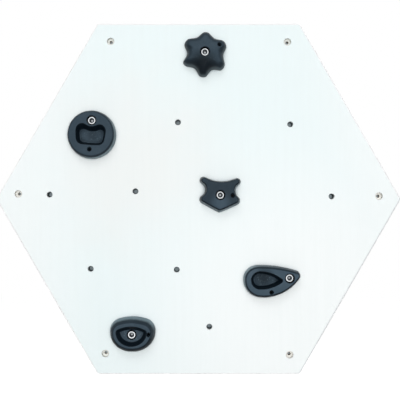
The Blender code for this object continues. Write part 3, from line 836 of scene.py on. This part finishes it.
def half_ellipse(points, fullness=1.0):
    """Fills out the lower half of an outline to half an ellipse, from its widest line down, or fuller."""
    left, right = [pick(points, key=lambda point: point.x) for pick in (min, max)]
    middle = (left + right) / 2
    wide = (right.x - left.x) / 2
    deep = middle.z - min(point.z for point in points)
    power = 2 * fullness
    rounded = []
    for point in points:
        if point.z < middle.z:
            turn = math.atan2((point.z - middle.z) / deep, (point.x - middle.x) / wide)
            reach = (abs(math.cos(turn)) ** power + abs(math.sin(turn)) ** power) ** (-1 / power)
            point = middle + reach * Vector((wide * math.cos(turn), 0, deep * math.sin(turn)))
        rounded.append(point)
    return rounded


def blunt_lobes(points, crown, lobes=6, first=math.radians(26.3), share=0.35):
    """Widens evenly spread lobes of an outline by a share and narrows the hollows between them."""
    blunted = []
    for point in points:
        spoke = point - crown
        turn = math.atan2(spoke.z, spoke.x)
        turn += share / lobes * math.sin(lobes * (turn - first))
        reach = spoke.length
        blunted.append(crown + Vector((reach * math.cos(turn), 0, reach * math.sin(turn))))
    return blunted


# %% Bridge the sections
def swelled(points):
    """A cage whose subdivision surface passes through the points."""
    cage = points
    for step in range(3):
        trios = zip(cage[-1:] + cage[:-1], cage, cage[1:] + cage[:1])
        reached = [(before + 4 * corner + after) / 6 for before, corner, after in trios]
        cage = [corner + point - short for corner, point, short in zip(cage, points, reached)]
    return cage


def lofted(name, points, crown, sections, start, rise, lifts=(0, 0)):
    """A closed body through the sections of an outline, from a depth and towards the climber by a rise. The
    lifts are how far the upper side is raised where the rise begins and where it ends.
    """
    shape = bmesh.new()
    outward = facing(points)
    top = max(point.z - crown.z for point in points)
    loops = []
    for share, size, inset in sections:
        drawn = [point - inset * abs(rise) * out for point, out in zip(points, outward)]
        lift = lifts[0] + share * (lifts[1] - lifts[0])
        for point in drawn:
            point.z += lift * max(0, point.z - crown.z) / top
        places = swelled([crown + size * (point - crown) for point in drawn])
        corners = [shape.verts.new((place.x, start - share * rise, place.z)) for place in places]
        loops.append([shape.edges.new(pair) for pair in zip(corners, corners[1:] + corners[:1])])
    for lower, upper in zip(loops, loops[1:]):
        bmesh.ops.bridge_loops(shape, edges=lower + upper)
    for end in (loops[0], loops[-1]):
        bmesh.ops.edgeloop_fill(shape, edges=end)
    bmesh.ops.recalc_face_normals(shape, faces=shape.faces)
    item = to_object(name, shape)
    rounding = item.modifiers.new("rounding", "SUBSURF")
    rounding.levels = rounding.render_levels = 2
    return settle(item)


def pocket_shape(floor, middle, top, form):
    """What a finger pocket takes away, worked out backwards from the rim of its floor. Its mouth can be
    widened and its floor narrowed.
    """
    depth = form["pocket_depth"]
    last_size, last_inset = POCKET[-1][1:]
    sections = []
    for share, size, inset in POCKET:
        slant = share * form.get("narrow_floor", 0) - (1 - share) * form.get("wide_mouth", 0)
        sections.append((share, size / last_size, (inset - last_inset) * last_size + slant / depth))
    item = lofted("pocket", floor, middle, sections, top, -depth, form.get("lifts", (0, 0)))
    shape = shape_of(item)
    bpy.data.objects.remove(item)
    return shape


# %% [markdown]
# ## Holes in a hold
# Steel meets plastic in two places: the stepped way of the bolt, with the recess for its head, and the
# smaller one of the lock screw. Their mouths have a small bevel. They are cut once roughly before the body
# is smoothed, and once sharply after it.

# %% Stepped holes
LOCK_SEAT = 0.004
LOCK_SEAT_DEPTH = 0.0065
MOUTH_BEVEL = 0.0005
OUT_FRONT = board_front - 0.080
BEHIND_WALL = 0.010


def stepped_hole(axis, wide, narrow, mouth, seat):
    """A wide hole down to its seat, and a narrow one through the foot. Without a narrow one it ends there."""
    profile = [
        (0, OUT_FRONT), (wide + 2 * MOUTH_BEVEL, OUT_FRONT), (wide + 2 * MOUTH_BEVEL, mouth - MOUTH_BEVEL),
        (wide, mouth + MOUTH_BEVEL), (wide, seat),
    ]
    profile += [(narrow, seat), (narrow, BEHIND_WALL), (0, BEHIND_WALL)] if narrow else [(0, seat)]
    return spun(profile, axis.x, axis.z)


# %% Round the lips, then cut the foot flat
GRID = 0.0007
SMOOTHING = 8


def moulded(item):
    """Remeshes a body into an even grid and smooths it, so that each edge gets a moulded rounding."""
    grid = item.modifiers.new("grid", "REMESH")
    grid.mode = "VOXEL"
    grid.voxel_size = GRID
    smooth = item.modifiers.new("smooth", "SMOOTH")
    smooth.factor = 0.5
    smooth.iterations = SMOOTHING
    return settle(item)


def flat_foot(item):
    """Cuts away what lies behind the hold's foot and closes the cut."""
    shape = shape_of(item)
    parts = shape.verts[:] + shape.edges[:] + shape.faces[:]
    foot = (0, hold_back, 0)
    bmesh.ops.bisect_plane(shape, geom=parts, plane_co=foot, plane_no=INTO_WALL, clear_outer=True)
    rim = [edge for edge in shape.edges if edge.is_boundary]
    bmesh.ops.holes_fill(shape, edges=rim, sides=0)
    bmesh.ops.recalc_face_normals(shape, faces=shape.faces)
    write_back(shape, item)


# %% [markdown]
# ## The five holds
# A star swells to a dome round its bolt, and a small five-pointed hold has a flat top and leaning sides. The
# round, drop-shaped and oval holds have deep pockets for the fingers. Only what can't be read from the packed
# model is given here: how deep the pockets are and how their walls slant, where the crown that the sections
# close in on lies beside the bolt, and the few places where an outline bulges a little or is drawn in.

# %% Forms: places lie across and up from the bolt, and a bulge has a place, a reach and a push
OVAL_FULLNESS = 1.08
HOLDS = {
    "star": {
        "sections": STAR, "crown": (0, 0),
        "bulges": [
            (-0.0300, -0.0300, 0.018, -0.0040), (-0.0380, -0.0020, 0.014, -0.0022),
            (0.0130, -0.0330, 0.015, -0.0026),
        ],
    },
    "round_pocket": {
        "sections": FLAT, "pocket_depth": 0.015, "narrow_floor": 0.0006, "lifts": (0.0012, -0.004),
    },
    "five_point": {"sections": FIVE_POINT, "crown": (0, 0.020), "bulges": [(0, 0, 0.200, 0.0010)]},
    "drop_pocket": {
        "sections": FLAT, "pocket_depth": 0.014, "pocket_middle": (-0.0578, -0.0037), "narrow_floor": 0.0015,
        "bulges": [(-0.0820, 0.0120, 0.024, 0.0022), (-0.0720, -0.0320, 0.020, -0.0007)],
    },
    "oval_pocket": {
        "sections": OVAL, "pocket_depth": 0.011, "wide_mouth": 0.0012, "narrow_floor": 0.0030,
        "lifts": (-0.0010, -0.0020),
    },
}


def beside(axis, across, up):
    """A place across and up from an axis."""
    return axis + Vector((across, 0, up))


def hold_outline(hold, foot, bolt_axis, crown):
    """The outline of a hold's foot, fuller or leaner than the faceted one where its form says so."""
    if hold == "oval_pocket":
        foot = half_ellipse(foot, OVAL_FULLNESS)
    if hold == "star":
        foot = blunt_lobes(foot, crown)
    for across, up, reach, push in HOLDS[hold].get("bulges", []):
        foot = bulged(foot, beside(bolt_axis, across, up), reach, push)
    return foot


# %% Make the holds
def make_hold(hold):
    form = HOLDS[hold]
    node = f"hold_{hold}"
    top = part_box(node)[0].y
    washer_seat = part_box(f"washer_{hold}")[1].y + FIT_GAP
    foot, bore, lock = feet[hold]
    recess = rims_at(node, washer_seat)[0]
    bolt_axis, lock_axis = middle_of(bore), middle_of(lock)
    crown = beside(bolt_axis, *form["crown"]) if "crown" in form else middle_of(foot)
    crown.y = hold_back
    foot = hold_outline(hold, foot, bolt_axis, crown)
    item = lofted(f"{hold}_hold_shell", foot, crown, form["sections"], hold_back, hold_back - top)
    mouth = top
    middle = crown
    if "pocket_depth" in form:
        floor = rims_at(node, top + form["pocket_depth"])[0]
        if hold == "oval_pocket":
            floor = half_ellipse(floor)
            mouth = top + form["pocket_depth"]
        middle = beside(bolt_axis, *form["pocket_middle"]) if "pocket_middle" in form else middle_of(floor)
        cut(item, [pocket_shape(floor, middle, top, form)])
    bolt_way = (bolt_axis, radius_of(recess))
    lock_way = (lock_axis, LOCK_SEAT)
    lock_seat = top + LOCK_SEAT_DEPTH
    cut(item, [
        stepped_hole(*bolt_way, 0, mouth, washer_seat),
        stepped_hole(*lock_way, 0, top, lock_seat),
    ])
    flat_foot(moulded(item))
    cut(item, [
        stepped_hole(*bolt_way, radius_of(bore), mouth, washer_seat),
        stepped_hole(*lock_way, radius_of(lock), top, lock_seat),
    ])
    finish = plastic_finish(hold, bolt_axis, middle, top + form.get("pocket_depth", 1))
    return mount(item, finish, f"{hold}_hold", node)


for hold in HOLDS:
    piece = make_hold(hold)
    nearest = min(corner.co.y for corner in piece.data.vertices)
    print(piece.name, len(piece.data.polygons), "faces, top at", round(1000 * nearest, 2), "mm")

# %% [markdown]
# ## Threads
# A screw thread is a small triangle with a flat tip that is turned about the axis while it moves along it,
# one pitch for each turn. The spin operator does just that when it is given a step along the axis too. The
# ridge is closed at both ends.

# %% A thread ridge
THREAD_PITCH = 0.0015
THREAD_STEPS = 24


def thread(shape, across, up, start, end, root, tip):
    """Adds a thread ridge to a shape, from one depth to another, standing from its root radius to its tip."""
    turns = (end - start) / THREAD_PITCH
    half = 0.44 * THREAD_PITCH
    crest = 0.1 * half
    profile = ((root, start - half), (tip, start - crest), (tip, start + crest), (root, start + half))
    before = set(shape.faces)
    corners = [shape.verts.new((across + radius, depth, up)) for radius, depth in profile]
    edges = [shape.edges.new(pair) for pair in zip(corners, corners[1:] + corners[:1])]
    steps = round(THREAD_STEPS * turns)
    bmesh.ops.spin(
        shape, geom=corners + edges, cent=(across, 0, up), axis=INTO_WALL, angle=math.tau * turns,
        steps=steps, dvec=(0, (end - start) / steps, 0),
    )
    ends = [edge for edge in shape.edges if edge.is_boundary]
    bmesh.ops.holes_fill(shape, edges=ends, sides=4)
    new_faces = [face for face in shape.faces if face not in before]
    bmesh.ops.recalc_face_normals(shape, faces=new_faces)


# %% [markdown]
# ## Bolts
# Each bolt is a socket head cap screw. Its head has an eased rim, a knurled side and a hexagonal socket
# with a small chamfer, and its shank carries the thread. The head is spun, every second row of its side is
# pressed in for the knurl, and the socket is cut with a six-sided prism and three cones.

# %% Sizes of a bolt
HEAD_RADIUS = 0.008
HEAD_HEIGHT = 0.010
HEAD_EASE = 0.0012
EASE_STEPS = 4
UNDER_EASE = 0.0003
CORE_RADIUS = 0.0041
CREST_RADIUS = 0.0047
NECK_TAPER = 0.0006
PLAIN_SHANK = 0.004
PLAIN_END = 0.0008
SHANK_EASE = 0.001
KNURL_TEETH = 48
KNURL_DEPTH = 0.00022
KNURL_FRONT = 0.0016
KNURL_BACK = 0.0012
SOCKET_WIDTH = 0.008
SOCKET_DEPTH = 0.005
CHAMFER_SPREAD = 0.0030
CHAMFER_DEPTH = 0.0006
DRILL_RADIUS = 0.0019
DRILL_TIP = 0.0002
DRILL_STEP = 0.0006
CUT_FROM = 0.002
OVERLAP = 0.0001

# %% How much painted shade a bolt has
SHADED_RIM = 0.0014
SHADED_SOCKET = 0.0008
SOCKET_MOUTH = 0.70
SOCKET_POINT = 0.60
socket_corner = SOCKET_WIDTH / math.sqrt(3)


def shade_on_bolt(front, out, depth):
    """1 round the head, in its socket and on the shank, less at the socket's point and mouth, and else 0."""
    within = out < socket_corner + OVERLAP and depth > front + SHADED_SOCKET
    if out > HEAD_RADIUS - SHADED_RIM or within:
        at_point = out < socket_corner / 2 and depth > front + SOCKET_DEPTH + 5 * OVERLAP
        return SOCKET_POINT if at_point else 1.0
    at_mouth = out < socket_corner + SHADED_SOCKET and depth > front + OVERLAP
    return SOCKET_MOUTH if at_mouth else 0.0


# %% Cutters and knurl
def prism(across, up, radius, start, end, end_radius=None, sides=6):
    """A prism or a blunt cone that runs into the wall from one depth to another."""
    shape = bmesh.new()
    bmesh.ops.create_cone(
        shape, cap_ends=True, segments=sides, radius1=radius,
        radius2=radius if end_radius is None else end_radius, depth=end - start,
    )
    turn_about_origin(shape, shape.verts, -QUARTER_TURN, "X")
    bmesh.ops.translate(shape, verts=shape.verts, vec=(across, (start + end) / 2, up))
    bmesh.ops.remove_doubles(shape, verts=shape.verts, dist=0.1 * SAME_PLACE)
    return shape


def press_knurl(shape, across, up, start, end):
    """Presses in every second row of corners on the head's side."""
    teeth = math.tau / (2 * KNURL_TEETH)
    pull = 1 - KNURL_DEPTH / HEAD_RADIUS
    for corner in shape.verts:
        out, depth, rise = corner.co.x - across, corner.co.y, corner.co.z - up
        on_side = start < depth < end and math.hypot(out, rise) > HEAD_RADIUS - OVERLAP
        if on_side and round(math.atan2(rise, out) / teeth) % 2:
            corner.co = (across + out * pull, depth, up + rise * pull)


# %% Make the bolts
def make_bolt(hold):
    node = f"bolt_{hold}"
    across, up = axis_of(node)
    front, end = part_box(node)[0].y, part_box(node)[1].y
    under_head = front + HEAD_HEIGHT
    profile = [(0, front)]
    for step in range(EASE_STEPS + 1):
        angle = QUARTER_TURN * step / EASE_STEPS
        out = HEAD_RADIUS - HEAD_EASE + HEAD_EASE * math.sin(angle)
        profile.append((out, front + HEAD_EASE * (1 - math.cos(angle))))
    profile += [
        (HEAD_RADIUS, front + KNURL_FRONT), (HEAD_RADIUS, under_head - KNURL_BACK),
        (HEAD_RADIUS, under_head - UNDER_EASE), (HEAD_RADIUS - UNDER_EASE, under_head),
        (CREST_RADIUS, under_head), (CORE_RADIUS, under_head + NECK_TAPER),
        (CORE_RADIUS, end - SHANK_EASE), (CORE_RADIUS - SHANK_EASE, end), (0, end),
    ]
    shape = spun(profile, across, up, steps=2 * KNURL_TEETH)
    press_knurl(shape, across, up, front + KNURL_FRONT - OVERLAP, under_head - KNURL_BACK + 2 * OVERLAP)
    item = to_object(f"{hold}_bolt_detail", shape)
    floor = front + SOCKET_DEPTH
    drill_end = floor + DRILL_STEP
    chamfer = (socket_corner + CHAMFER_SPREAD, front - CUT_FROM - OVERLAP, front + CHAMFER_DEPTH)
    cutters = (
        (socket_corner, front - CUT_FROM, floor),
        (*chamfer, socket_corner - OVERLAP, 48),
        (SOCKET_WIDTH / 2 - 2 * OVERLAP, floor - 2 * OVERLAP, drill_end, DRILL_RADIUS, 32),
        (DRILL_RADIUS + OVERLAP, drill_end - OVERLAP, drill_end + DRILL_STEP, DRILL_TIP, 32),
    )
    cut(item, [prism(across, up, *cutter) for cutter in cutters])
    shape = shape_of(item)
    # Painted shade round the head, in the socket and on the shank.
    add_shade_marks(shape, across, up, lambda out, depth: shade_on_bolt(front, out, depth))
    thread_end = end - SHANK_EASE - PLAIN_END
    thread(shape, across, up, under_head + PLAIN_SHANK, thread_end, CORE_RADIUS - OVERLAP, CREST_RADIUS)
    write_back(shape, item)
    return mount(item, bright_zinc, f"{hold}_bolt", node)


for hold in HOLDS:
    piece = make_bolt(hold)
    print(piece.name, len(piece.data.polygons), "faces")

# %% [markdown]
# ## Washers
# A flat steel ring under each bolt head spreads its load over the plastic. Stamping leaves its rims
# slightly round, so the profile is a rectangle with its four corners cut off.

# %% Make the washers
WASHER_EASE = 0.0002


def make_washer(hold):
    node = f"washer_{hold}"
    low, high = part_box(node)
    outer = (high.z - low.z) / 2
    inner = radius_of(rims_at(node, low.y)[1])
    ease = WASHER_EASE
    profile = (
        (outer - ease, low.y), (outer, low.y + ease), (outer, high.y - ease), (outer - ease, high.y),
        (inner + ease, high.y), (inner, high.y - ease), (inner, low.y + ease), (inner + ease, low.y),
    )
    item = to_object(f"{hold}_washer_detail", spun(profile, *axis_of(node), closed=True))
    # Painted shade: the washer takes the dark zinc.
    return mount(item, shade_dark_zinc, f"{hold}_hold", node)


for hold in HOLDS:
    make_washer(hold)
print(len(HOLDS), "washers")

# %% [markdown]
# ## Tee nuts
# A tee nut is stamped from sheet steel: a threaded barrel on a round flange, with four prongs bent out of
# the flange's rim that bite into the back of the board. Eight of the thirteen are empty and show their
# threads. The barrel and flange are spun, notches are cut where the prongs were bent out, and the prongs
# are tapered blocks.

# %% Sizes of a tee nut
FLANGE_RADIUS = 0.0125
FLANGE_THICKNESS = 0.0015
FLANGE_EASE = 0.0003
BACK_EASE = (0.0004, 0.0005)
BARREL_RADIUS = 0.0056
BARREL_EASE = 0.0002
BARREL_ROOT = (0.0003, 0.0004)
NUT_BORE = 0.005
BORE_LEAD = 0.0005
BACK_LEAD = (0.0008, 0.0006)
NUT_THREAD_TIP = 0.0044
NUT_THREAD_LEAD = 0.0012
NOTCH_DEPTH = 0.0022
PRONG_WIDTH = 0.0045
PRONG_THICKNESS = 0.0012
PRONG_TIP = 0.0012
PRONG_LENGTH = 0.006
PRONG_EASE = 0.0002
SHADED_BORE = 0.75
QUARTERS = [math.tau * i / 4 for i in range(4)]


def nut_profile(front, back):
    face = back - FLANGE_THICKNESS
    return (
        (BARREL_RADIUS - BARREL_EASE, front), (BARREL_RADIUS, front + BARREL_EASE),
        (BARREL_RADIUS, face - BARREL_ROOT[1]), (BARREL_RADIUS + BARREL_ROOT[0], face),
        (FLANGE_RADIUS - FLANGE_EASE, face), (FLANGE_RADIUS, face + FLANGE_EASE),
        (FLANGE_RADIUS, back - BACK_EASE[1]), (FLANGE_RADIUS - BACK_EASE[0], back),
        (NUT_BORE + BACK_LEAD[0], back), (NUT_BORE, back - BACK_LEAD[1]),
        (NUT_BORE, front + BORE_LEAD), (NUT_BORE + BORE_LEAD, front),
    )


# %% Make the tee nuts
def block(size, middle, turn, across, up, tip=1.0):
    """A block beside a nut's axis, turned about that axis and narrowed by a share at its front end."""
    shape = bmesh.new()
    bmesh.ops.create_cube(shape, size=1)
    for corner in shape.verts:
        if corner.co.y < 0:
            corner.co.z *= tip
    bmesh.ops.scale(shape, verts=shape.verts, vec=size)
    bmesh.ops.translate(shape, verts=shape.verts, vec=middle)
    turn_about_origin(shape, shape.verts, turn, "Y")
    bmesh.ops.translate(shape, verts=shape.verts, vec=(across, 0, up))
    return shape


def add_prong(shape, back, turn, across, up):
    """Adds a prong to a nut, with its root in the flange."""
    root = back - FLANGE_THICKNESS / 2
    tip = back - FLANGE_THICKNESS - PRONG_LENGTH
    standing = FLANGE_RADIUS - NOTCH_DEPTH - PRONG_THICKNESS / 2
    size = (PRONG_THICKNESS, root - tip, PRONG_WIDTH)
    prong = block(size, (standing, (root + tip) / 2, 0), turn, across, up, tip=PRONG_TIP / PRONG_WIDTH)
    bmesh.ops.bevel(
        prong, geom=prong.edges[:], offset=PRONG_EASE, segments=2, profile=0.5, affect="EDGES", material=-1,
    )
    mesh = bpy.data.meshes.new("prong")
    prong.to_mesh(mesh)
    prong.free()
    shape.from_mesh(mesh)
    bpy.data.meshes.remove(mesh)


def make_tee_nut(number, empty):
    node = f"tee_nut_{number:02}"
    across, up = axis_of(node)
    front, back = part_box(node)[0].y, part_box(node)[1].y
    item = to_object(f"{node}_detail", spun(nut_profile(front, back), across, up, closed=True))
    notch = (2 * NOTCH_DEPTH, 4 * FLANGE_THICKNESS, PRONG_WIDTH)
    cut(item, [block(notch, (FLANGE_RADIUS, back, 0), turn, across, up) for turn in QUARTERS])
    shape = shape_of(item)
    for turn in QUARTERS:
        add_prong(shape, back, turn, across, up)
    if empty:
        start, end = front + NUT_THREAD_LEAD, back - NUT_THREAD_LEAD
        thread(shape, across, up, start, end, NUT_BORE + OVERLAP, NUT_THREAD_TIP)
    # Painted shade in the bore and its thread.
    add_shade_marks(shape, across, up, lambda out, depth: SHADED_BORE if out < NUT_BORE + OVERLAP else 0.0)
    write_back(shape, item)
    return mount(item, dull_zinc, "board", node)


NUT_NUMBERS = range(1, 14)
bolted = {1, 2, 7, 11, 12}
for number in NUT_NUMBERS:
    piece = make_tee_nut(number, number not in bolted)
    print(piece.name, len(piece.data.polygons), "faces")

# %% [markdown]
# ## Floor and the wall behind the holes
# The board hangs clear of a plain white floor. Seen from the front, its through holes show the wall close
# behind, in shadow. A whole wall would hide the back of the board, so only small round patches of it stand
# at the ends of the holes, no wider than those, and they can be seen from the front alone.

# %% Stage materials
SHADOW_SHARE = 0.34
WHITE = (1, 1, 1, 1)


def seen_directly(tree):
    """1 for a ray from the camera or a reflection, and 0 for the light that falls on the object."""
    path = tree.nodes.new("ShaderNodeLightPath").outputs
    return greatest(tree, path["Is Camera Ray"], path["Is Glossy Ray"], path["Is Transmission Ray"])


def glowing(tree, surface, glow):
    """Seen directly, a surface is nearly white with the object's shadow on it. It throws no more light on the
    object than before.
    """
    seen = seen_directly(tree)
    light = put(tree, "ShaderNodeEmission", {"Color": WHITE, "Strength": times(tree, seen, glow)})
    dim = put(tree, "ShaderNodeBsdfDiffuse", {"Color": (SHADOW_SHARE, SHADOW_SHARE, SHADOW_SHARE, 1)})
    bright = put(tree, "ShaderNodeAddShader", {0: dim, 1: light})
    return put(tree, "ShaderNodeMixShader", {0: seen, 1: surface, 2: bright})


def one_sided(tree, surface):
    """Lets a surface be seen through from behind."""
    from_behind = put(tree, "ShaderNodeNewGeometry", {}, output="Backfacing")
    clear = put(tree, "ShaderNodeBsdfTransparent", {})
    return put(tree, "ShaderNodeMixShader", {0: from_behind, 1: surface, 2: clear})


def stage_material(name, shade, change, *settings):
    """A matt surface, changed by one of the two functions above."""
    material, tree, shader = new_finish(name)
    tree.nodes.remove(shader)
    surface = put(tree, "ShaderNodeBsdfDiffuse", {"Color": (*shade, 1)})
    surface = change(tree, surface, *settings)
    tree.links.new(surface, tree.nodes["Material Output"].inputs["Surface"])
    return material


# %% Floor
FLOOR_DROP = 0.80
FLOOR_SPAN = 8.0
FLOOR_GLOW = 0.92

floor_shape = bmesh.new()
bmesh.ops.create_grid(floor_shape, x_segments=1, y_segments=1, size=FLOOR_SPAN / 2)
bmesh.ops.translate(floor_shape, verts=floor_shape.verts, vec=(0, 0, -FLOOR_DROP))
floor = to_object("floor", floor_shape)
floor.data.materials.append(stage_material("white floor", (0.30, 0.30, 0.30), glowing, FLOOR_GLOW))

# %% Patches of wall
SCREW_HOLE_CORNERS = 16
LARGEST_SCREW_HOLE = 0.004

empty_nuts = [number for number in NUT_NUMBERS if number not in bolted]
hole_ends = [(*axis_of(f"tee_nut_{number:02}"), NUT_BORE) for number in empty_nuts]
for rim in rims_at("panel", 0)[1:]:
    middle, radius = middle_of(rim), radius_of(rim)
    if len(rim) == SCREW_HOLE_CORNERS and radius < LARGEST_SCREW_HOLE:
        hole_ends.append((middle.x, middle.z, radius))
wall_shape = bmesh.new()
for across, up, radius in hole_ends:
    circle = bmesh.ops.create_circle(wall_shape, cap_ends=True, radius=radius - OVERLAP, segments=24)
    turn_about_origin(wall_shape, circle["verts"], QUARTER_TURN, "X")
    bmesh.ops.translate(wall_shape, verts=circle["verts"], vec=(across, -FIT_GAP, up))
wall = to_object("wall_behind_holes", wall_shape)
# Painted shade: the patches are a dark grey, as the wall behind the holes would be in shadow.
wall.data.materials.append(stage_material("wall patch painted in shade", (0.30, 0.35, 0.37), one_sided))
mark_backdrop(floor, wall)
print(len(hole_ends), "holes show the wall behind them")

# %% [markdown]
# ## Light
# Soft studio light: a broad soft panel beside the camera gives most of it, so the board has no hard
# shadows. A key lamp from the upper left gives the holds their form, and a small soft box above the camera
# fills their pockets. The rest comes from the world, bright overhead and dim below, and a lamp behind
# lights the back. Together they add up to a level at which a colour that faces the front renders as it is
# written. Rays from the camera and reflections see the world as plain white, and reflections don't see the
# two lamps next to the camera, so the zinc stays even.

# %% Lamps: name, place, width and height, power, and whether reflections see it
LAMPS = (
    ("key from above", (-0.5, -3.2, 2.8), (2.2, 1.4), 28, True),
    ("broad soft panel", (0.2, -3.6, 0.0), (2.2, 1.4), 76, False),
    ("soft box above the camera", (-0.1, -2.4, 0.45), (0.9, 0.7), 8, False),
    ("fill behind", (0.6, 1.8, 0.9), (1.6, 1.2), 36, True),
)


def soft_lamp(name, place, size, power, reflected):
    """A soft box that points at the middle of the board."""
    lamp = bpy.data.lights.new(name, "AREA")
    lamp.shape = "RECTANGLE"
    lamp.size, lamp.size_y = size
    lamp.energy = power
    item = into_scene(name, lamp)
    item.location = place
    item.rotation_euler = (-Vector(place)).to_track_quat("-Z", "Y").to_euler()
    item.visible_glossy = reflected


for lamp in LAMPS:
    soft_lamp(*lamp)
print(len(LAMPS), "lamps")

# %% World
WORLD_OVERHEAD = 0.22
WORLD_BELOW = 0.08
FULLY_OVERHEAD = 0.9
FULLY_BELOW = -0.6

world = bpy.data.worlds.new("white studio")
world.use_nodes = True
bpy.context.scene.world = world
tree = world.node_tree
upward = parts_of(tree, put(tree, "ShaderNodeTexCoord", {}, output="Generated"))["Z"]
fill = fade(tree, upward, FULLY_BELOW, FULLY_OVERHEAD, WORLD_BELOW, WORLD_OVERHEAD)
strength = fade(tree, seen_directly(tree), 0, 1, fill, 1)
feed(tree, tree.nodes["Background"], {"Color": WHITE, "Strength": strength})

# %% [markdown]
# ## Camera
# The photograph was taken straight on, from about 1.3 m in front of the middle of the board, close enough
# for each hold to show a little of the side that faces the middle.

# %% Camera
SENSOR_WIDTH = 36
LENS = 59.2
CAMERA_PLACE = (0.0028, -1.318, -0.0020)

camera = bpy.data.cameras.new("camera")
camera.sensor_width = SENSOR_WIDTH
camera.lens = LENS
camera_item = into_scene("camera", camera)
camera_item.location = CAMERA_PLACE
camera_item.rotation_euler = (QUARTER_TURN, 0, 0)
bpy.context.scene.camera = camera_item
bpy.context.scene.view_settings.view_transform = "Standard"

# %% [markdown]
# ## Compare the size
# The dressed model has to fill the same box as the imported one. The differences between the two boxes are
# printed.

# %% Finish
look_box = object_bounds()
differences = [[round(1000 * (a - b), 2) for a, b in zip(*pair)] for pair in zip(look_box, cad_box)]
print("Box differences in mm:", differences)
